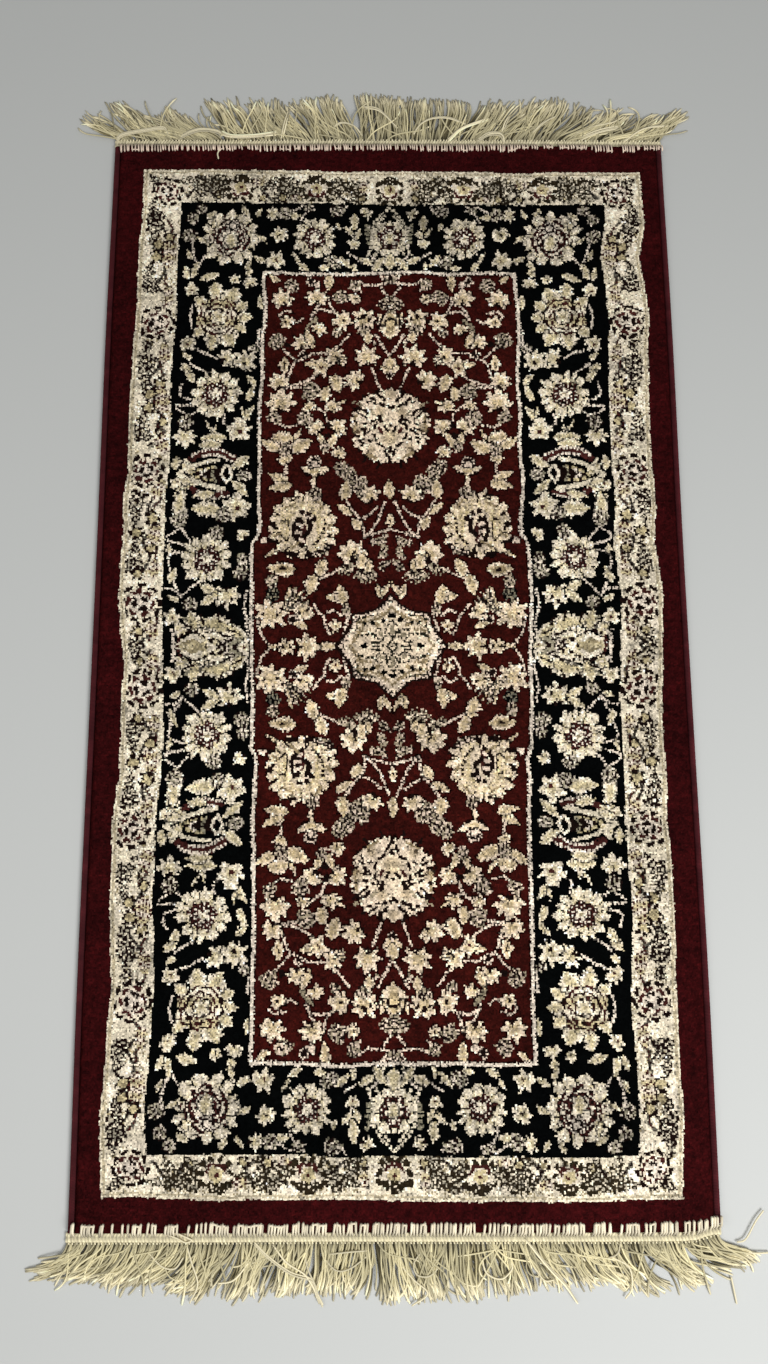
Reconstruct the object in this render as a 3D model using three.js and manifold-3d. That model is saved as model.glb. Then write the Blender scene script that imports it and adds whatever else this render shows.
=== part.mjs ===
// Bedside runner: a flat woven pile rug with an overcast binding down each long side
// and, at each short end, a fringe of loose locks on a stitched tape.
// Units are millimetres. +Y runs along the rug, +Z is up and z = 0 is the floor.
import * as THREE from "three";
import Module from "manifold-3d";

// Driving dimensions
const RUG_WIDTH = 600; // over both bindings
const RUG_LENGTH = 1100; // the pile cloth, without its fringes
const PILE_TOP = 9; // backing and pile together
const BINDING_WIDTH = 7;
const BINDING_HEIGHT = 6.4;
const TAPE_WIDTH = 9;
const TAPE_HEIGHT = 3;
const GAP = 0.3; // between neighbouring pieces

// The pile rounds over at its rim, in three steps from the outside in.
const RIM = [
  { inset: 0, z: 6.2 },
  { inset: 0.9, z: 8.2 },
  { inset: 2.8, z: PILE_TOP },
];

// How far each edge wanders outwards from its straight line, at even steps along it.
const SIDE_DRIFT = [
  { y: -550, left: -2.0, right: -1.8 },
  { y: -330, left: -0.2, right: -0.4 },
  { y: -110, left: -0.3, right: -1.2 },
  { y: 110, left: -0.2, right: -1.6 },
  { y: 330, left: 0.5, right: -0.6 },
  { y: 550, left: -0.7, right: -1.8 },
];
const END_DRIFT = [
  { x: -300, near: 1.0, far: 0.0 },
  { x: -180, near: 1.5, far: -0.5 },
  { x: -60, near: 1.5, far: 0.0 },
  { x: 60, near: 2.2, far: -0.5 },
  { x: 180, near: 2.8, far: -1.0 },
  { x: 300, near: 2.8, far: -1.8 },
];

const SIDE_STEP = 60; // between bends along a long side
const END_STEP = 12.5; // between bends along a short end

// The near tape turns up a little where it ends at the right-hand corner.
const TURNED_UP = { from: 268, to: 300, rise: 7 };

// Fringe: locks of yarn, three-sided, lying level on the floor
const LOCKS_PER_END = 150;
const LOCK_STEPS = 3;
const LOCK_ROOT = { width: 2.2, height: 2.2 };
const LOCK_TIP = { width: 1.5, height: 1.3 };
const LOCK_INSET = 3; // of the outermost locks from the tape's ends
const ROOT_DEPTH = 3; // how far a lock runs into its tape
const ROOT_LIFT = 0.5; // height of its underside where it leaves the tape
const FIRST_BEND = 0.5; // share of its lean that a lock already has at its root
const CORNER_FAN = { lean: 1.32, power: 2.2 }; // radians, of the outermost locks' tips
const LEAN_WAVES = [
  { angle: 0.13, length: 130, phases: 1 },
  { angle: 0.03, length: 57, phases: 2 },
];
const LENGTH_WAVE = 195; // along the tape, from one long stretch of locks to the next

const FRINGES = {
  near: { side: -1, length: 48, spread: 6, phase: 0.6 },
  far: { side: 1, length: 50, spread: 6, phase: 2.6 },
};

const FINISHES = {
  pile: { color: 0x4a1014, roughness: 0.95, metalness: 0 },
  binding: { color: 0x3d191c, roughness: 0.8, metalness: 0 },
  fringe: { color: 0xd9cfa3, roughness: 0.85, metalness: 0 },
};

const wasm = await Module();
wasm.setup();

// A smooth line through the drift values, read at any place along the edge.
function driftAt(rows, along, column, place) {
  const curve = new THREE.SplineCurve(
    rows.map((row) => new THREE.Vector2(row[along], row[column])),
  );
  const first = rows[0][along];
  const last = rows[rows.length - 1][along];
  const share = THREE.MathUtils.clamp((place - first) / (last - first), 0, 1);
  return curve.getPoint(share).y;
}

// Neighbouring pieces bend at the same stations, so the gap between them stays even.
function onStations(place, step, edgeAt) {
  const before = Math.floor(place / step) * step;
  const share = (place - before) / step;
  return THREE.MathUtils.lerp(edgeAt(before), edgeAt(before + step), share);
}

function stationsBetween(low, high, step) {
  const places = [low];
  for (let i = Math.floor(low / step) + 1; i * step < high; i++) {
    places.push(i * step);
  }
  return [...places, high];
}

// Outer edge of the rug on one long side, where side is -1 for left and 1 for right
function sideEdge(side, y) {
  const column = side < 0 ? "left" : "right";
  const edgeAt = (place) =>
    side * (RUG_WIDTH / 2 + driftAt(SIDE_DRIFT, "y", column, place));
  return onStations(y, SIDE_STEP, edgeAt);
}

// Edge of the pile cloth at one short end, where side is -1 for near and 1 for far
function endEdge(side, x) {
  const column = side < 0 ? "near" : "far";
  const edgeAt = (place) => {
    const straight = RUG_LENGTH / 2 + driftAt(END_DRIFT, "x", column, place);
    const turn = THREE.MathUtils.smoothstep(place, TURNED_UP.from, TURNED_UP.to);
    return side * (straight - (side < 0 ? TURNED_UP.rise * turn : 0));
  };
  return onStations(x, END_STEP, edgeAt);
}

// A closed solid from rings of equal length. flatten turns a ring's point into 2-D for the caps.
function loft(rings, flatten) {
  const count = rings[0].length;
  const positions = rings.flat().flatMap((point) => [point.x, point.y, point.z]);
  let faces = [];
  for (let ring = 0; ring < rings.length - 1; ring++) {
    for (let i = 0; i < count; i++) {
      const a = ring * count + i;
      const b = ring * count + ((i + 1) % count);
      faces.push([a, b, b + count], [a, b + count, a + count]);
    }
  }
  const contour = rings[0].map(flatten);
  const turnsLeft = !THREE.ShapeUtils.isClockWise(contour);
  const capFaces = THREE.ShapeUtils.triangulateShape(contour, []);
  const lastRing = (rings.length - 1) * count;
  for (const [a, b, c] of capFaces) {
    const [p, q] = turnsLeft ? [b, c] : [c, b];
    faces.push([a, q, p], [a + lastRing, p + lastRing, q + lastRing]);
  }
  if (signedVolume(positions, faces) < 0) {
    faces = faces.map(([a, b, c]) => [a, c, b]);
  }
  const geometry = new THREE.BufferGeometry();
  geometry.setAttribute("position", new THREE.Float32BufferAttribute(positions, 3));
  geometry.setIndex(faces.flat());
  return geometry;
}

function signedVolume(positions, faces) {
  const corner = (i) => new THREE.Vector3().fromArray(positions, 3 * i);
  return faces.reduce(
    (sum, [a, b, c]) => sum + corner(a).dot(corner(b).cross(corner(c))) / 6,
    0,
  );
}

function toSolid(geometry) {
  return new wasm.Manifold(
    new wasm.Mesh({
      numProp: 3,
      vertProperties: geometry.getAttribute("position").array,
      triVerts: new Uint32Array(geometry.index.array),
    }),
  );
}

function toGeometry(solid) {
  const { vertProperties, triVerts } = solid.getMesh();
  const geometry = new THREE.BufferGeometry();
  geometry.setAttribute("position", new THREE.BufferAttribute(vertProperties, 3));
  geometry.setIndex(new THREE.BufferAttribute(triVerts, 1));
  return geometry;
}

function makeMesh(name, geometry, finish) {
  geometry.computeVertexNormals();
  const mesh = new THREE.Mesh(geometry, new THREE.MeshStandardMaterial(finish));
  mesh.name = name;
  return mesh;
}

// Pile cloth: the rug's outline, drawn in by inset, as a ring at height z
function clothRing(inset, z) {
  const beside = BINDING_WIDTH + GAP + inset;
  const left = (y) => sideEdge(-1, y) + beside;
  const right = (y) => sideEdge(1, y) - beside;
  const near = (x) => endEdge(-1, x) + inset;
  const far = (x) => endEdge(1, x) - inset;
  const end = RUG_LENGTH / 2;
  const nearXs = stationsBetween(left(-end), right(-end), END_STEP);
  const farXs = stationsBetween(left(end), right(end), END_STEP);
  const rightYs = stationsBetween(near(right(-end)), far(right(end)), SIDE_STEP);
  const leftYs = stationsBetween(near(left(-end)), far(left(end)), SIDE_STEP);
  const outline = [
    ...nearXs.map((x) => [x, near(x)]),
    ...rightYs.slice(1, -1).map((y) => [right(y), y]),
    ...farXs.reverse().map((x) => [x, far(x)]),
    ...leftYs.slice(1, -1).reverse().map((y) => [left(y), y]),
  ];
  return outline.map(([x, y]) => new THREE.Vector3(x, y, z));
}

function makeCloth() {
  const rings = [clothRing(0, 0), ...RIM.map(({ inset, z }) => clothRing(inset, z))];
  const geometry = loft(rings, (point) => new THREE.Vector2(point.x, point.y));
  return makeMesh("rug_body", geometry, FINISHES.pile);
}

// Overcast binding: a round-topped strip down one long side, from tape to tape
function makeBinding(name, side) {
  const archSteps = 6;
  const shoulder = BINDING_HEIGHT / 2;
  const cornerX = (side * RUG_WIDTH) / 2;
  const [near, far] = [endEdge(-1, cornerX), endEdge(1, cornerX)];
  const rings = [];
  for (const y of stationsBetween(near, far, SIDE_STEP)) {
    const outside = sideEdge(side, y);
    const inside = outside - side * BINDING_WIDTH;
    const middle = (outside + inside) / 2;
    const ring = [new THREE.Vector3(inside, y, 0), new THREE.Vector3(outside, y, 0)];
    for (let step = 0; step <= archSteps; step++) {
      const angle = (Math.PI * step) / archSteps;
      const x = middle + (Math.cos(angle) * side * BINDING_WIDTH) / 2;
      const z = shoulder + Math.sin(angle) * (BINDING_HEIGHT - shoulder);
      ring.push(new THREE.Vector3(x, y, z));
    }
    rings.push(ring);
  }
  const geometry = loft(rings, (point) => new THREE.Vector2(point.x, point.z));
  return makeMesh(name, geometry, FINISHES.binding);
}

// Fringe tape: two low ridges, one for each row of chain stitch
function makeTape(side) {
  const end = (side * RUG_LENGTH) / 2;
  const section = [
    { out: 0, z: 0 },
    { out: TAPE_WIDTH, z: 0 },
    { out: TAPE_WIDTH, z: 0.85 * TAPE_HEIGHT },
    { out: 0.82 * TAPE_WIDTH, z: TAPE_HEIGHT },
    { out: 0.5 * TAPE_WIDTH, z: 0.8 * TAPE_HEIGHT },
    { out: 0.2 * TAPE_WIDTH, z: TAPE_HEIGHT },
    { out: 0, z: 0.7 * TAPE_HEIGHT },
  ];
  const rings = [];
  for (const x of stationsBetween(sideEdge(-1, end), sideEdge(1, end), END_STEP)) {
    const inner = endEdge(side, x) + side * GAP;
    rings.push(section.map(({ out, z }) => new THREE.Vector3(x, inner + side * out, z)));
  }
  return loft(rings, (point) => new THREE.Vector2(point.y, point.z));
}

// Repeatable scatter between -1 and 1
function scatter(index) {
  const golden = 0.618034;
  const share = (index * index * golden) % 1;
  return 2 * share - 1;
}

// How far a lock's tip leans sideways: outwards at the corners, in soft waves between
function leanAt(x, phase) {
  const share = Math.abs(x) / (RUG_WIDTH / 2);
  const fan = Math.sign(x) * CORNER_FAN.lean * share ** CORNER_FAN.power;
  const waves = LEAN_WAVES.map(
    (wave) => wave.angle * Math.sin((2 * Math.PI * x) / wave.length + wave.phases * phase),
  );
  return waves.reduce((sum, wave) => sum + wave, fan);
}

function makeLock(fringe, x, index) {
  const { lerp } = THREE.MathUtils;
  const wave = Math.sin((2 * Math.PI * x) / LENGTH_WAVE + fringe.phase);
  const length = fringe.length + (fringe.spread * (wave + scatter(index))) / 2;
  const lean = leanAt(x, fringe.phase);
  const rootY =
    endEdge(fringe.side, x) + fringe.side * (GAP + TAPE_WIDTH - ROOT_DEPTH);
  const place = new THREE.Vector2(x, rootY);
  const rings = [];
  for (let step = 0; step <= LOCK_STEPS; step++) {
    const share = step / LOCK_STEPS;
    const angle = lean * lerp(FIRST_BEND, 1, share);
    const heading = new THREE.Vector2(Math.sin(angle), fringe.side * Math.cos(angle));
    if (step > 0) place.addScaledVector(heading, (length + ROOT_DEPTH) / LOCK_STEPS);
    const half = lerp(LOCK_ROOT.width, LOCK_TIP.width, share) / 2;
    const height = lerp(LOCK_ROOT.height, LOCK_TIP.height, share);
    const under = step === 0 ? ROOT_LIFT : 0;
    const across = new THREE.Vector2(-heading.y, heading.x).multiplyScalar(half);
    rings.push([
      new THREE.Vector3(place.x - across.x, place.y - across.y, under),
      new THREE.Vector3(place.x + across.x, place.y + across.y, under),
      new THREE.Vector3(place.x, place.y, height),
    ]);
  }
  return loft(rings, (point) => new THREE.Vector2(point.x, point.z));
}

function makeFringe(name, fringe) {
  const end = (fringe.side * RUG_LENGTH) / 2;
  const first = sideEdge(-1, end) + LOCK_INSET;
  const last = sideEdge(1, end) - LOCK_INSET;
  let solid = toSolid(makeTape(fringe.side));
  for (let i = 0; i < LOCKS_PER_END; i++) {
    const x = THREE.MathUtils.lerp(first, last, i / (LOCKS_PER_END - 1));
    solid = solid.add(toSolid(makeLock(fringe, x, i)));
  }
  return makeMesh(name, toGeometry(solid), FINISHES.fringe);
}

const runner = new THREE.Group();
runner.name = "bedside_runner";
runner.add(makeCloth());
runner.add(makeBinding("binding_left", -1));
runner.add(makeBinding("binding_right", 1));
runner.add(makeFringe("fringe_near", FRINGES.near));
runner.add(makeFringe("fringe_far", FRINGES.far));

export default runner;
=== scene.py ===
import math
from functools import partial

import bpy
import numpy as np
from mathutils import Matrix, Vector


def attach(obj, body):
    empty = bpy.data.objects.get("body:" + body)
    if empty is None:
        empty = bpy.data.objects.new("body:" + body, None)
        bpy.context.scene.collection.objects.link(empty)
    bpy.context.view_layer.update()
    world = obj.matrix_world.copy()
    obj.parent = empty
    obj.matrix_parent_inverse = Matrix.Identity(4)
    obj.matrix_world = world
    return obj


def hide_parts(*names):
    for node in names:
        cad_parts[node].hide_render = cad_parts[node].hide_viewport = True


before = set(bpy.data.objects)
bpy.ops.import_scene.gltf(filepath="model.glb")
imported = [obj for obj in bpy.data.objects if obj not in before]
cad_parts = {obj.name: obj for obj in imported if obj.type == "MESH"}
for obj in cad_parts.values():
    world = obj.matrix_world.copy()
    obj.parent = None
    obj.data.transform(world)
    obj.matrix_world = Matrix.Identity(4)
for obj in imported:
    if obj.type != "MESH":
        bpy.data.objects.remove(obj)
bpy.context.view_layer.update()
random = np.random.default_rng(7)

MM = 0.001
TURN = 2 * math.pi

# The rug, in millimetres. +Y runs to the far end and z = 0 is the floor.
HALF_LENGTH = 550
PILE_TOP = 8.6
RIM_Z = 6.2
BACKING_TOP = 2.6
BINDING_WIDTH = 7.0
BINDING_HEIGHT = 6.4
TAPE_WIDTH = 9.0
TAPE_HEIGHT = 3.0
GAP = 0.3

# Pattern, in millimetres from its centre. Only its far right quarter is painted: the rest mirrors it.
CELL = 0.6
HALF_WIDE = 304.0
HALF_LONG = 566.0
FIELD = (133.5, 405.5)
FRAME_STEP = (139.0, 110.0)
BORDER = (227.5, 487.0)
GUARD = (269.0, 526.0)


def colour(red, green, blue):
    return np.array([red, green, blue]) / 255


RED = colour(49, 15, 12)
BAND = colour(46, 11, 12)
INK = colour(5, 6, 6)
IVORY = colour(226, 213, 190)
CREAM = colour(211, 199, 174)
GOLD = colour(178, 164, 127)
TAN = colour(140, 127, 98)
ROSE = colour(212, 198, 180)
SAGE = colour(136, 129, 108)
MIST = colour(96, 98, 86)
BROWN = colour(58, 28, 25)
UMBER = colour(22, 13, 11)
MOSS = colour(27, 27, 20)
DUSK = colour(38, 31, 21)
# Beside the red the pale yarns look warmer.
WARMER = (1.0, 0.965, 0.95)
# how dark the cells just outside a motif and a line get: a dark outline that is partly painted shade beside
# the higher pale pile
MOTIF_SHADE = 0.35
LINE_SHADE = 0.4

CELLS_X, CELLS_Y = np.meshgrid(
    (np.arange(int(HALF_WIDE / CELL)) + 0.5) * CELL,
    (np.arange(int(HALF_LONG / CELL)) + 0.5) * CELL,
)
paint = np.empty(CELLS_X.shape + (3,))


# Shared sums
CURVE_STEPS = 8
NOISE_CELLS = 257


def smooth(low, high, value):
    """0 below low, 1 above high and an eased step between them."""
    share = np.clip((value - low) / (high - low), 0, 1)
    return share * share * (3 - 2 * share)


def blend(first, second, share):
    share = np.asarray(share)[..., None]
    return first * (1 - share) + second * share


def ripple(value):
    """A slow change from 0 to 1 and back."""
    return 0.5 + 0.5 * np.sin(value)


def waves(angle, count):
    """1 in the middle of each of count petals and 0 between them."""
    return np.abs(np.cos(angle * count / 2))


def saw(angle, count):
    """1 at the point of each of count teeth and 0 between them."""
    return 1 - 2 * np.abs((angle * count / TURN) % 1 - 0.5)


def soft_noise(x, y, size, amount, seed):
    """Smooth repeatable scatter with features of about the given size."""
    table = np.random.default_rng(seed).normal(0, 1, (NOISE_CELLS, NOISE_CELLS))
    column, row = x / size + 500.3, y / size + 500.7
    i, j = np.floor(column).astype(int), np.floor(row).astype(int)
    a, b = smooth(0, 1, column - i), smooth(0, 1, row - j)
    left, right = i % NOISE_CELLS, (i + 1) % NOISE_CELLS
    below, above = j % NOISE_CELLS, (j + 1) % NOISE_CELLS
    low, high = (table[level, left] * (1 - a) + table[level, right] * a for level in (below, above))
    return amount * (low * (1 - b) + high * b)


def beyond(x, y, distance, degrees):
    """The place at a distance from another, in a direction clockwise from the long axis."""
    angle = math.radians(degrees)
    return x + distance * math.sin(angle), y + distance * math.cos(angle)


def grown(where, steps):
    """The chosen cells and their neighbours up to some steps away."""
    for _ in range(steps):
        wider = where.copy()
        wider[1:] |= where[:-1]
        wider[:-1] |= where[1:]
        wider[:, 1:] |= where[:, :-1]
        wider[:, :-1] |= where[:, 1:]
        where = wider
    return where


def smooth_curve(points):
    """A Catmull-Rom curve through the points."""
    given = np.array(points, float)
    padded = np.vstack([2 * given[0] - given[1], given, 2 * given[-1] - given[-2]])
    path = []
    for p0, p1, p2, p3 in zip(padded, padded[1:], padded[2:], padded[3:]):
        for t in np.linspace(0, 1, CURVE_STEPS, endpoint=False):
            path.append(
                0.5 * (2 * p1 + (p2 - p0) * t + (2 * p0 - 5 * p1 + 4 * p2 - p3) * t**2)
                + 0.5 * (3 * p1 - p0 - 3 * p2 + p3) * t**3
            )
    return np.array(path + [given[-1]])


# Uneven fields over the whole quarter: light and dark knots, a net, and how far ragged edges stray
KNOT_PITCH = 3.7
SCALLOP_PITCH = 5.4
NET_PITCH = 4.0
NET_WAYS = [(1, 0), (0.5, 0.866), (0.5, -0.866)]


def knotty_ground():
    """From about -1 to 1 in small uneven knots, as where light and dark yarns alternate."""
    weave = np.sin(TURN * CELLS_X / KNOT_PITCH) * np.sin(TURN * CELLS_Y / KNOT_PITCH)
    return 0.75 * weave + soft_noise(CELLS_X, CELLS_Y, 2.0, 0.5, 12)


def knot_net():
    """From -1.5 between the knots of an uneven three-way net to 3 on them."""
    x = CELLS_X + soft_noise(CELLS_X, CELLS_Y, 9, 1.0, 21)
    y = CELLS_Y + soft_noise(CELLS_X, CELLS_Y, 9, 1.0, 22)
    return sum(np.cos(TURN * (east * x + north * y) / NET_PITCH) for east, north in NET_WAYS)


KNOTS = knotty_ground()
NET = knot_net()
RAGGED_EAST = soft_noise(CELLS_X, CELLS_Y, 2.6, 0.75, 23)
RAGGED_NORTH = soft_noise(CELLS_X, CELLS_Y, 2.6, 0.75, 24)


def window(x, y, reach):
    """The slice of the quarter that lies within reach of a place."""
    across = [int(np.clip((x + way * reach) / CELL, 0, paint.shape[1])) for way in (-1, 1)]
    along = [int(np.clip((y + way * reach) / CELL, 0, paint.shape[0])) for way in (-1, 1)]
    return slice(*along), slice(*across)


class Patch:
    """The cells round one motif, measured in the motif's own directions."""

    def __init__(self, x, y, size, turn=0):
        self.place = window(x, y, size * 0.75 + 3)
        east = CELLS_X[self.place] - x + RAGGED_EAST[self.place]
        north = CELLS_Y[self.place] - y + RAGGED_NORTH[self.place]
        turned = math.radians(turn)
        self.side = east * math.cos(turned) - north * math.sin(turned)
        self.up = east * math.sin(turned) + north * math.cos(turned)
        self.r = np.hypot(self.side, self.up)
        self.angle = np.arctan2(self.side, self.up)
        self.knots = KNOTS[self.place]
        self.net = NET[self.place]

    def fill(self, where, tone):
        paint[self.place][where] = tone[where] if tone.ndim == 3 else tone

    def fill_outlined(self, where, tone):
        """Fills, and darkens the cells just outside: an outline that is partly painted shade."""
        area = paint[self.place]
        area[grown(where, 2) & ~where] *= MOTIF_SHADE
        self.fill(where, tone)

    def scallops(self, count):
        """1 in the middle of uneven rings of small rounded petals, and -1 between them."""
        bulge = 1.7 * waves(self.angle + 0.4 * np.sin(self.r / 5), count) + 0.8 * np.sin(0.5 * self.side)
        slits = waves(self.angle + self.r / 9, 2 * count) < 0.25
        return np.cos(TURN * (self.r - bulge) / SCALLOP_PITCH) - 0.7 * slits

    def petals(self, share, core=GOLD):
        """Pale at the edge and golden inside, in uneven patches."""
        uneven = np.sin(0.55 * self.side + 0.8 * self.up) * np.sin(0.7 * self.up - 0.45 * self.side)
        tone = blend(core, IVORY, np.clip(smooth(0.0, 0.95, share) + 0.4 * uneven, 0, 1))
        return tone * np.where(self.knots < -0.95, 0.6, 1 + 0.08 * self.knots)[..., None]


# Lines
MOTTLED_FROM = 3.0


def near_curve(points, half):
    """The cells near a curve, how far they are from it and how far along it they lie."""
    path = smooth_curve(points)
    middle = (path.min(0) + path.max(0)) / 2
    place = window(*middle, np.ptp(path, axis=0).max() / 2 + half + 3)
    east, north = CELLS_X[place], CELLS_Y[place]
    nearest = np.full(east.shape, np.inf)
    along = np.zeros(east.shape)
    travelled = 0.0
    for start, stop in zip(path[:-1], path[1:]):
        step = stop - start
        length = math.hypot(*step) + 1e-9
        part = np.clip(((east - start[0]) * step[0] + (north - start[1]) * step[1]) / length**2, 0, 1)
        gap = np.hypot(east - start[0] - part * step[0], north - start[1] - part * step[1])
        closer = gap < nearest
        nearest[closer] = gap[closer]
        along[closer] = (travelled + part * length)[closer]
        travelled += length
    return place, nearest, along


def vine(points, tone=ROSE, half=1.0, pitch=3.6):
    """A line of knots with a dark edge, partly outline and partly painted shade."""
    place, nearest, along = near_curve(points, half)
    width = half + 0.55 * np.cos(TURN * along / pitch)
    area = paint[place]
    area[nearest < width + 0.9] *= LINE_SHADE
    area[nearest < width] = tone


def stroke(tone, half, points, dash=None):
    """A plain line inside a motif, dashed if a pitch is given."""
    place, nearest, along = near_curve(points, half)
    drawn = nearest < half
    if dash:
        drawn &= np.cos(TURN * along / dash) > -0.6
    elif half > MOTTLED_FROM:
        drawn &= nearest < half * (0.8 + 0.35 * KNOTS[place])
    paint[place][drawn] = tone


def draw(strokes):
    """Every line of a large motif."""
    for tone, *lines in strokes:
        for half, points, *dash in lines:
            stroke(tone, half, points, *dash)


def wash(x, y, radius, tone):
    """A soft patch of another tone."""
    patch = Patch(x, y, 2 * radius)
    share = 0.55 * smooth(radius, 0.3 * radius, patch.r)
    paint[patch.place] = blend(paint[patch.place], tone, share)


# Leaves and small flowers. Each is placed by its middle, its size and the degrees of its turn.
def both_ways(middle, *others):
    """A finger in the middle, and each other one to the right and the left of it."""
    return [middle] + [(way * at, length, width) for at, length, width in others for way in (1, -1)]


# The fingers of a lobed leaf: degrees from the tip, length, width in degrees
IVY_FINGERS = both_ways((0, 1, 22), (44, 0.92, 20), (86, 0.9, 22), (128, 0.74, 20), (165, 0.45, 20))
WING_FINGERS = both_ways((0, 0.5, 40), (68, 1, 20), (100, 0.55, 20), (180, 1, 13))
BURR_FINGERS = [
    (18, 0.9, 22), (60, 1, 22), (102, 0.85, 22), (144, 1, 22),
    (188, 0.85, 22), (230, 1, 22), (272, 0.9, 22), (316, 1, 22),
]


def fan(angle, fingers):
    """The outline of a lobed leaf, as a share of its reach."""
    reach = np.full(angle.shape, 0.3)
    for at, length, width in fingers:
        off = (np.degrees(angle) - at + 180) % 360 - 180
        reach = np.maximum(reach, length * (1 - 0.4 * np.abs(off / width) ** 1.15))
    return reach


def lobed(x, y, size, turn=0, fingers=IVY_FINGERS, slit=False):
    """A leaf of pointed fingers, slit at its foot where asked."""
    patch = Patch(x, y, size, turn)
    reach = fan(patch.angle, fingers) * (1 + 0.06 * np.sin(1.9 * patch.side) * np.sin(1.7 * patch.up))
    share = patch.r / (size * 0.505 * reach)
    patch.fill_outlined(share < 1, patch.petals(share))
    patch.fill((share > 0.8) & (share < 1) & (reach < 0.55), UMBER)
    if slit:
        gap = np.hypot(patch.side / 1.2, (patch.up + size * 0.14) / (0.13 * size))
        patch.fill(gap < 1, UMBER)


ivy = partial(lobed, slit=True)
wings = partial(lobed, fingers=WING_FINGERS)


def burr(x, y, size, turn=0):
    """A spiky golden flower with a dark knot either side of its heart."""
    lobed(x, y, size, turn, BURR_FINGERS)
    patch = Patch(x, y, size, turn)
    for way in (-1, 1):
        patch.fill(np.hypot(patch.side - way * 0.2 * size, patch.up) < 1.7, UMBER)


def star(x, y, size, turn=0, points=5, heart=BROWN):
    """A flower of uneven pointed petals."""
    patch = Patch(x, y, size, turn)
    angle = patch.angle + 0.22 * np.sin(2 * patch.angle + x)
    reach = 0.42 + 0.45 * saw(angle + math.pi / points, points) ** 0.8 + 0.13 * saw(angle, 3 * points)
    edge = 0.5 * size * reach * (1 + 0.1 * np.sin(patch.angle + y))
    patch.fill_outlined(patch.r < edge, patch.petals(patch.r / edge))
    patch.fill(np.hypot(patch.side, patch.up + 0.04 * size) < max(1.4, 0.08 * size), heart)


flower = partial(star, points=7, heart=UMBER)


def leaf(x, y, size, turn=0, width=0.44, vein=None):
    """A pointed leaf with wavy edges, and a dark vein if one is given."""
    patch = Patch(x, y, size, turn)
    share = np.clip(patch.up / size + 0.5, 0, 1)
    half = 0.465 * width * size * np.sin(math.pi * share**0.8) ** 0.85
    half = half * (1 + 0.12 * np.sin(patch.up * 1.3 + x) + 0.1 * np.sin(patch.up * 2.7 + y)) + 1e-3
    inside = (np.abs(patch.side) < half) & (share > 0) & (share < 1)
    patch.fill_outlined(inside, patch.petals(np.abs(patch.side) / half))
    if vein is not None:
        patch.fill(inside & (np.abs(patch.side) < 0.8) & (share > 0.1) & (share < 0.6), vein)


spear = partial(leaf, width=0.26)
bud = partial(leaf, width=0.68)
petal = partial(leaf, width=0.9)


def curled(x, y, size, turn=0):
    """A leaf seen as a pale rim round a tan hollow."""
    leaf(x, y, size, turn, width=0.55)
    patch = Patch(x, y, size, turn)
    inner = np.hypot(patch.side / (0.13 * size), (patch.up + 0.02 * size) / (0.24 * size))
    patch.fill(inner < 1, TAN)
    patch.fill(inner < 0.45, UMBER)


def speckled(x, y, size, turn=0, width=0.58, ground=UMBER, light=SAGE, bright=ROSE, dark_below=-0.1):
    """A leaf of small light knots on a dark ground."""
    patch = Patch(x, y, size, turn)
    share = np.clip(patch.up / size + 0.5, 0, 1)
    half = width * size / 2 * np.sin(math.pi * share) ** 0.6
    inside = (np.abs(patch.side) < half) & (share > 0) & (share < 1)
    patch.fill(inside, ground)
    tone = blend(light, bright, ripple(0.9 * patch.up + 0.4 * patch.side))
    hatch = np.cos(TURN * (patch.side + 1.2 * np.sin(0.35 * patch.up)) / 4.2)
    patch.fill(inside & (hatch + 0.5 * patch.net > dark_below), tone)


dotted = partial(speckled, width=0.92, dark_below=-0.2)
green = partial(speckled, width=0.8, ground=INK, light=MIST, bright=SAGE, dark_below=0.2)


def striped(x, y, size, turn=0):
    """A spray of long thin leaves, side by side, pale and speckled in turn."""
    for step in range(-2, 3):
        way = turn + 13 * step
        middle = beyond(x, y, 0.42 * size, way)
        if step % 2:
            speckled(*middle, size * 0.78, way, width=0.2)
        else:
            leaf(*middle, size * 0.82, way, width=0.13)


def tassel(x, y, size, turn=0):
    """A row of short speckled rays, as the skirt of a flower."""
    for step in range(-3, 4):
        way = turn + 17 * step
        speckled(*beyond(x, y, 0.3 * size, way), size * 0.62, way, width=0.24, bright=IVORY)


def tulip(x, y, size, turn=0):
    """Rounded petals over a small speckled calyx."""
    for spread, share in ((-24, 0.92), (24, 0.92), (0, 1)):
        leaf(x, y, size * share, turn + spread, width=0.52)
    dotted(*beyond(x, y, -0.36 * size, turn), size * 0.34, turn)


def bead(x, y, size):
    patch = Patch(x, y, size)
    patch.fill_outlined(patch.r < size / 2, ROSE)


def hole(x, y, size):
    patch = Patch(x, y, size)
    patch.fill(patch.r < size / 2, UMBER)


def ring(x, y, size):
    """A ring of pale knots round a dark hollow."""
    hole(x, y, size)
    patch = Patch(x, y, size)
    knots = np.cos(patch.angle * round(size * 0.8)) > -0.3
    patch.fill((np.abs(patch.r - size * 0.38) < 1.2) & knots, ROSE)


# Large flowers
SCALLOPED_FROM = 60


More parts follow.
